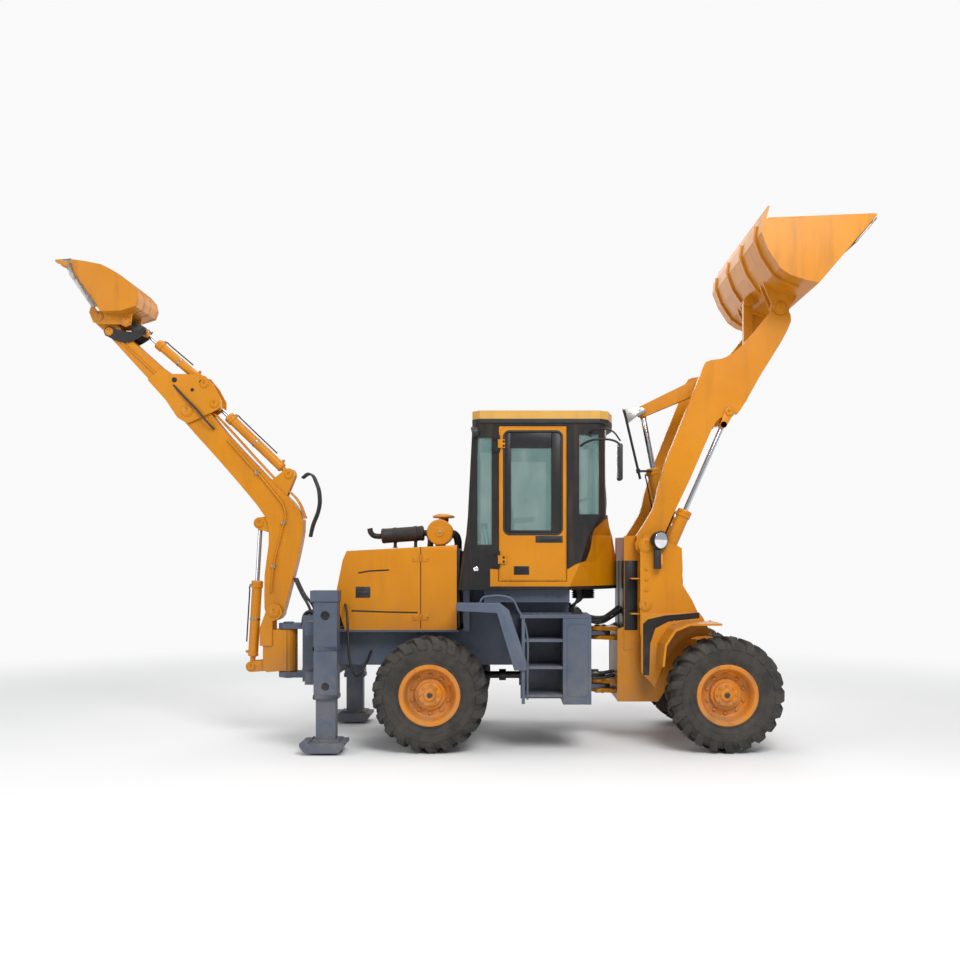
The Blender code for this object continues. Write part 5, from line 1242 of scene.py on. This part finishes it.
def loaderBucketDetail():
    outer = grownLine(loaderBack, -0.020)
    inner = grownLine(loaderBack, 0.004)
    bm = bmesh.new()
    for y in bucketLook["ribs"]:
        outline = [(x + originX, z) for x, z in outer + inner[::-1]]
        addPlate(bm, outline, (y - 0.018, y + 0.018))
    finishMesh("loaderBucketRibs", bm, paintBucket, "loader_bucket", 35, 0.002)
    bm = bmesh.new()
    addPlate(bm, [(x + originX, z) for x,
                  z in ((3.395, 4.902), (3.200, 4.676), (3.190, 4.684), (3.384, 4.912))],
             (-1.070, 1.070))
    finishMesh("loaderCuttingEdge", bm, wornSteel, "loader_bucket", 35, 0.002)
    bolts = bmesh.new()
    for i in range(9):
        y = -0.96 + i * 0.24
        for share in (0.25, 0.75):
            addHex(bolts, at(3.200 + 0.195 * share, y, 4.676 + 0.226 * share), (0.757, 0, -0.653), 0.013,
                   0.008)
    finishMesh("cuttingEdgeBolts", bolts, wornSteel, "loader_bucket", 30)
    for side in (-1, 1):
        bm = bmesh.new()
        lip = [(2.400, 4.860), (2.395, 4.905), (3.368, 4.944), (3.395, 4.934), (3.330, 4.862), (3.275, 4.876)]
        addPlate(bm, inWorld(lip), span(side, 1.0749, 1.0745))
        addBox(bm, xSpan(2.41, 3.25), span(side, 1.066, 1.0748), (4.872, 4.896))
        finishMesh("bucketSideStrip" + ("Right" if side < 0 else "Left"), bm, paintBucket, "loader_bucket",
                   35)
        bm = bmesh.new()
        step = [(2.66, 4.74), (2.66, 4.775), (2.90, 4.762), (2.90, 4.725), (2.865, 4.725), (2.862, 4.742),
                (2.70, 4.752), (2.695, 4.735)]
        addPlate(bm, inWorld(step), span(side, 1.060, 1.0748))
        finishMesh("bucketStep" + ("Right" if side < 0 else "Left"), bm, darkSteel, "loader_bucket", 35,
                   0.001)


loaderBucketDetail()
print("loader made")


# digging arm: hard lines, hose loops, bucket wear parts
def boomLines():
    for i, y in enumerate((-0.045, -0.015, 0.015, 0.045)):
        top = [(-2.035, 2.20), (-2.12, 2.385), (-2.29, 2.54), (-2.48, 2.74), (-2.78, 3.07), (-2.96, 3.26)]
        route = [at(x + 0.010, y, z + 0.012) for x, z in top]
        hose(f"boomLine{i}", route, 0.008, paintYellow, "boom", 8, 3)
    for i, y in enumerate((-0.090, 0.090)):
        route = [at(-2.36, y, 1.46), at(-2.33, y, 1.75), at(-2.26, y, 2.05), at(-2.22, y, 2.28),
                 at(-2.36, y, 2.50), at(-2.62, y, 2.80), at(-2.80, y, 3.00)]
        hose(f"boomSideLine{i}", route, 0.0085, paintYellow, "boom", 10, 3)
    clamps = bmesh.new()
    for x, z in ((-2.335, 1.72), (-2.235, 2.16), (-2.50, 2.665)):
        for side in (-1, 1):
            addBox(clamps, (x + originX - 0.020, x + originX + 0.020), span(side, 0.072, 0.101),
                   (z - 0.014, z + 0.014))
    finishMesh("boomClamps", clamps, zincBolt, "boom", 35, 0.002)
    for i, y in enumerate((-0.055, -0.02, 0.02, 0.055)):
        route = [at(-2.06, y * 0.7, 2.62), at(-1.985, y, 2.66), at(-1.915, y * 1.1, 2.56),
                 at(-1.885, y * 1.1, 2.42),
                 at(-1.895, y, 2.30), at(-1.955, y, 2.13), at(-1.98, y * 0.8, 2.02)]
        hose(f"boomHoseLoop{i}", route, 0.011, hoseRubber, "boom", 10, 4)
    for i, (y, bow) in enumerate(((-0.060, 0.0), (0.0, 0.05), (0.060, 0.02))):
        route = [at(-2.005, y, 0.96), at(-1.955 + bow, y, 1.10), at(-1.97 + bow, y * 1.1, 1.28),
                 at(-2.06, y, 1.45), at(-2.13, y * 0.9, 1.60)]
        bentHose(f"boomFootHose{i}", route, 0.014)
    for i, y in enumerate((-0.125, 0.125)):
        route = [at(-2.93, y * 0.75, 3.10), at(-3.00, y, 3.18), at(-3.10, y * 1.05, 3.30), at(-3.22, y, 3.42),
                 at(-3.34, y * 0.8, 3.55)]
        bentHose(f"boomNoseHose{i}", route, 0.011)


boomLines()


def stickDetail():
    for i, y in enumerate((-0.095, 0.095)):
        route = [at(-3.40, y, 3.56), at(-3.52, y, 3.66), at(-3.72, y, 3.85), at(-3.86, y, 3.98)]
        hose(f"stickLine{i}", route, 0.008, paintYellow, "stick", 8, 3)
    # black rims and discs over the stick's holes are painted shade inside the holes
    bm = bmesh.new()
    for side in (-1, 1):
        for x, z, r in ((-3.33, 3.60, 0.024), (-3.06, 3.58, 0.018), (-3.15, 3.50, 0.016)):
            addSpin(bm, [(r - 0.004, -0.001), (r, -0.001), (r + 0.002, 0.0015), (r - 0.003, 0.0015)],
                    at(x, side * 0.105, z), (0, side, 0), 28)
            addRod(bm, at(x, side * 0.1052, z), at(x, side * 0.1056, z), r - 0.003, segments=28)
    finishMesh("stickHoleRimsAndShade", bm, paintBlack, "stick", 35)


stickDetail()


def hoeBucketDetail():
    shell = [(-4.001, 4.246), (-3.80, 4.25), (-3.655, 4.296), (-3.626, 4.375), (-3.646, 4.454),
             (-3.705, 4.523), (-3.804, 4.602), (-3.903, 4.661), (-4.00, 4.71)]
    outer, inner = grownLine(shell, 0.012), grownLine(shell, -0.003)
    bm = bmesh.new()
    for y in (-0.27, -0.09, 0.09, 0.27):
        addPlate(bm, [(x + originX, z) for x, z in outer + inner[::-1]], (y - 0.022, y + 0.022))
    finishMesh("hoeBucketRibs", bm, paintBucket, "hoe_bucket", 35, 0.002)
    for side in (-1, 1):
        bm = bmesh.new()
        cutter = [(-4.285, 4.72), (-4.265, 4.630), (-4.03, 4.30), (-4.075, 4.275), (-4.30, 4.60),
                  (-4.318, 4.70)]
        addPlate(bm, inWorld(cutter), span(side, 0.288, 0.312))
        for share in (0.2, 0.5, 0.8):
            addHex(bm, at(-4.285 + 0.215 * share, side * 0.312, 4.64 - 0.31 * share), (0, side, 0), 0.012,
                   0.009)
        finishMesh("hoeSideCutter" + ("Right" if side < 0 else "Left"), bm, wornSteel, "hoe_bucket", 35,
                   0.002)
    bm = bmesh.new()
    for i in range(5):
        y = (i / 4 - 0.5) * 0.52
        verts = addBox(bm, xSpan(-4.440, -4.290), (y - 0.039, y + 0.039), (4.728, 4.768))
        for v in verts:
            if v.co.x < -4.40 + originX:
                v.co.z = 4.744 + (v.co.z - 4.748) * 0.28
                v.co.y = y + (v.co.y - y) * 0.82
    finishMesh("hoeToothTips", bm, wornSteel, "hoe_bucket", 35, 0.003)


hoeBucketDetail()
print("digging arm made")


# rear frame: painted shade in the stabilizer holes, rail hoses, carriage, fender and tank details
def rearSide(label, side):
    body = "rear_frame"
    # black discs in the sleeve's holes are painted shade inside the holes
    bm = bmesh.new()
    for x, z, r in ((-1.654, 1.275, 0.034), (-1.654, 0.62, 0.028)):
        addSpin(bm, [(0, 0.002), (r - 0.006, 0.002), (r - 0.004, 0.004), (r + 0.004, 0.005),
                     (r + 0.008, 0.001), (r + 0.008, -0.002), (0, -0.002)], at(x, side * 0.980, z), (0, side,
                                                                                 0), 32, closed=False)
    finishMesh(f"{label}SleeveHoleShade", bm, paintBlack, body, 30)
    bm = bmesh.new()
    for z in (0.505, 0.95, 1.395):
        height = 0.035
        x0, x1, y0, y1 = -1.768, -1.540, 0.804, 0.985
        for x in ((x0, x0 + 0.012), (x1 - 0.012, x1)):
            addBox(bm, (x[0] + originX, x[1] + originX), span(side, y0, y1), (z, z + height))
        addBox(bm, (x0 + originX, x1 + originX), span(side, y1 - 0.010, y1), (z, z + height))
    finishMesh(f"{label}SleeveCollars", bm, paintGrey, body, 35, 0.003)
    # the black disc in the leg's pin hole is painted shade inside the hole
    bm = bmesh.new()
    addSpin(bm, [(0, 0.002), (0.026, 0.002), (0.030, 0.005), (0.036, 0.003), (0.036, -0.002), (0, -0.002)],
            at(-1.654, side * 0.953, 0.25), (0, side, 0), 32, closed=False)
    finishMesh(f"{label}LegPinHoleShade", bm, paintBlack, f"{label}_stabilizer", 30)
    bm = bmesh.new()
    for x in (-1.80, -1.72, -1.60, -1.53):
        addBox(bm, (x + originX - 0.006, x + originX + 0.006), span(side, 0.735, 1.055), (0.100, 0.124))
    finishMesh(f"{label}FootRibs", bm, paintGrey, f"{label}_stabilizer", 35, 0.002)
    loop = [at(-1.53, side * 0.60, 1.36), at(-1.50, side * 0.70, 1.30), at(-1.47, side * 0.80, 1.05),
            at(-1.44, side * 0.84, 0.80), at(-1.40, side * 0.80, 0.70), at(-1.33, side * 0.66, 0.79),
            at(-1.30, side * 0.46, 0.90)]
    hose(f"{label}StabilizerHose", loop, 0.012, hoseRubber, body, 10, 4)
    bm = bmesh.new()
    for x in (-1.60, -1.35, -1.10, -0.85, -0.55):
        addHex(bm, at(x, side * 0.43, 1.07), (0, side, 0), 0.013, 0.010)
    for x in (0.02, 0.12, 0.40, 0.52):
        addHex(bm, at(x, side * 0.60, 1.44), (0, side, 0), 0.012, 0.010)
    for x in (0.25, 0.50):
        for z in (0.93, 1.02):
            addHex(bm, at(x, side * 0.53, z), (0, side, 0), 0.013, 0.010)
    finishMesh(f"{label}ChassisBolts", bm, paintGrey, body, 30)
    bm = bmesh.new()
    for row in range(9):
        for column in range(5):
            x = 0.18 + row * 0.066
            y = 0.56 + column * 0.085
            turn = Matrix.Translation(at(x, side * y,
                                         1.2805)) @ Matrix.Rotation(0.8 if (row + column) % 2 else -0.8, 4,
                                                                    "Z")
            addBox(bm, (-0.018, 0.018), (-0.004, 0.004), (-0.0015, 0.0022), turn)
    for z in (0.545, 0.805, 1.055):
        for i in range(8):
            addBox(bm, (0.19 + originX + i * 0.043, 0.21 + originX + i * 0.043), span(side, 0.90, 0.962),
                   (z, z + 0.003))
    finishMesh(f"{label}StepTread", bm, paintGrey, body, 35, 0.0008)
    bm = bmesh.new()
    addSpin(bm, [(0, 0.040), (0.036, 0.040), (0.042, 0.034), (0.044, 0.006), (0.052, 0.004), (0.052, -0.002),
                 (0, -0.002)],
            at(0.68, side * 0.74, 1.281), (0, 0, 1), 32, closed=False)
    finishMesh(f"{label}TankCap", bm, mouldedBlack, body, 30)
    bm = bmesh.new()
    ring(bm, xSpan(0.575, 0.765), (0.53, 1.19), span(side, 0.9755, 0.9785), 0.006, 0.04)
    finishMesh(f"{label}TankPressing", bm, paintGrey, body, 35, 0.001)
    bm = bmesh.new()
    wing = [(-0.451, 1.390), (-0.046, 1.390), (0.037, 1.326), (0.200, 0.850), (0.200, 0.770), (0.085, 0.770),
            (-0.0736, 1.298), (-0.451, 1.317)]
    addPlate(bm, inWorld(wing), span(side, 0.982, 0.9995))
    finishMesh(f"{label}FenderWing", bm, paintGrey, body, 35, 0.004)
    rail = [at(-0.232, side * 0.955, 1.385), at(-0.205, side * 0.955, 1.435), at(-0.150, side * 0.960, 1.450),
            at(0.000, side * 0.962, 1.450), at(0.070, side * 0.964, 1.420), at(0.120, side * 0.966, 1.330),
            at(0.165, side * 0.966, 1.245), at(0.205, side * 0.966, 1.090), at(0.208, side * 0.966, 0.80),
            at(0.208, side * 0.966, 0.50)]
    hose(f"{label}GrabRailLow", rail, 0.010, paintGrey, body, 10, 4)
    bm = bmesh.new()
    lampAt = at(-1.560, side * 0.45, 1.44)
    for i, finish in enumerate((redLens, amberLens)):
        lampBm = bmesh.new()
        y0 = 0.40 + i * 0.07
        addBox(lampBm, xSpan(-1.622, -1.602), span(side, y0, y0 + 0.064), (1.385, 1.440))
        finishMesh(f"{label}TailLens{i}", lampBm, finish, body, 32, 0.005)
    addBox(bm, xSpan(-1.612, -1.585), span(side, 0.392, 0.542), (1.376, 1.449))
    finishMesh(f"{label}TailLampShell", bm, mouldedBlack, body, 32, 0.003)
    return lampAt


bothSides(rearSide)


def underCab():
    # rubber boot and the lines that drop from the cab floor to the valve block
    bm = bmesh.new()
    folds = [(0.10 + (0.018 if i % 2 else 0.0), i * 0.011) for i in range(9)]
    addSpin(bm, folds + [(0.03, 0.088), (0.03, 0.0)], at(0.78, -0.20, 1.405), (0, 0, 1), 40)
    finishMesh("columnBoot", bm, hoseRubber, "rear_frame", 60)
    for i in range(4):
        y = -0.42 + i * 0.06
        route = [at(0.70 + i * 0.02, y, 1.497), at(0.71 + i * 0.02, y, 1.42), at(0.665, y, 1.33),
                 at(0.60, y * 0.9, 1.24)]
        hose(f"cabDropHose{i}", route, 0.013, hoseRubber, "rear_frame", 8, 4)
    boxPiece("valveBlock", (xSpan(0.622, 0.70), (-0.36, -0.12), (1.16, 1.32)), darkSteel, "rear_frame", 35,
             0.006)
    fittings = bmesh.new()
    for i in range(5):
        for z in (1.19, 1.25):
            addHex(fittings, at(0.70, -0.335 + i * 0.047, z), (1, 0, 0), 0.013, 0.016)
    finishMesh("valveFittings", fittings, zincBolt, "rear_frame", 30)
    bm = bmesh.new()
    addRod(bm, at(-0.20, 0, 0.62), at(1.02, 0, 0.62), 0.036, segments=28)
    for x in (-0.06, 0.52, 0.88):
        addRod(bm, at(x, 0, 0.62), at(x + 0.07, 0, 0.62), 0.058, segments=28)
    finishMesh("driveShaft", bm, darkSteel, "rear_frame", 35, 0.003)


underCab()


def carriageDetail():
    body = "side_shift_carriage"
    bm = bmesh.new()
    for z in (0.70, 1.13):
        for y in (-0.24, -0.17, 0.17, 0.24):
            addHex(bm, at(-2.0, y, z), (-1, 0, 0), 0.016, 0.014)
    finishMesh("carriageBolts", bm, zincBolt, body, 30)
    bm = bmesh.new()
    for low, high in ((1.146, 1.158), (0.590, 0.599)):
        addRod(bm, at(-2.20, 0, low), at(-2.20, 0, high), 0.052, segments=36)
    finishMesh("swingPinCaps", bm, paintGrey, body, 32, 0.002)
    for i, y in enumerate((-0.16, -0.11, -0.06, 0.07, 0.13)):
        route = [at(-1.99, y, 1.02), at(-2.03, y * 0.9, 1.16), at(-1.99, y * 1.1, 1.26),
                 at(-1.90, y * 1.4, 1.265), at(-1.83, y * 1.8, 1.235)]
        hose(f"carriageHose{i}", route, 0.013, hoseRubber, body, 10, 4)
    bm = bmesh.new()
    railX, railTop = -1.87, 1.20
    for side in (-1, 1):
        addBox(bm, (railX + originX + 0.01, railX + originX + 0.16), span(side, 0.34, 0.80),
               (railTop + 0.0005, railTop + 0.006))
    finishMesh("railWearStrips", bm, wornSteel, "rear_frame", 35)


boxPiece("hoodEndPanel", (xSpan(-0.458, -0.436), (-0.56, 0.56), (1.13, 1.88)), mouldedBlack, "rear_frame", 35,
         0.002)
carriageDetail()
print("rear frame made")


# floor
bm = bmesh.new()
bmesh.ops.create_grid(bm, x_segments=2, y_segments=2, size=studio["floorSize"])
floor = finishMesh("floor", bm, floorFinish, None)
floor.location.z = -0.001
world = bpy.data.worlds.new("studioWorld")
world.use_nodes = True
worldTree = world.node_tree
sky = worldTree.nodes["Background"]
sky.inputs["Color"].default_value = (*studio["world"], 1)
sky.inputs["Strength"].default_value = studio["worldStrength"]
backdrop = worldTree.nodes.new("ShaderNodeBackground")
backdrop.inputs["Color"].default_value = (1, 1, 1, 1)
backdrop.inputs["Strength"].default_value = studio["backdrop"]
chooser = worldTree.nodes.new("ShaderNodeMixShader")
rays = worldTree.nodes.new("ShaderNodeLightPath")
worldTree.links.new(rays.outputs["Is Camera Ray"], chooser.inputs[0])
worldTree.links.new(sky.outputs[0], chooser.inputs[1])
worldTree.links.new(backdrop.outputs[0], chooser.inputs[2])
worldTree.links.new(chooser.outputs[0], worldTree.nodes["World Output"].inputs["Surface"])
bpy.context.scene.world = world
bpy.context.scene.view_settings.view_transform = "Standard"

print("scene done")
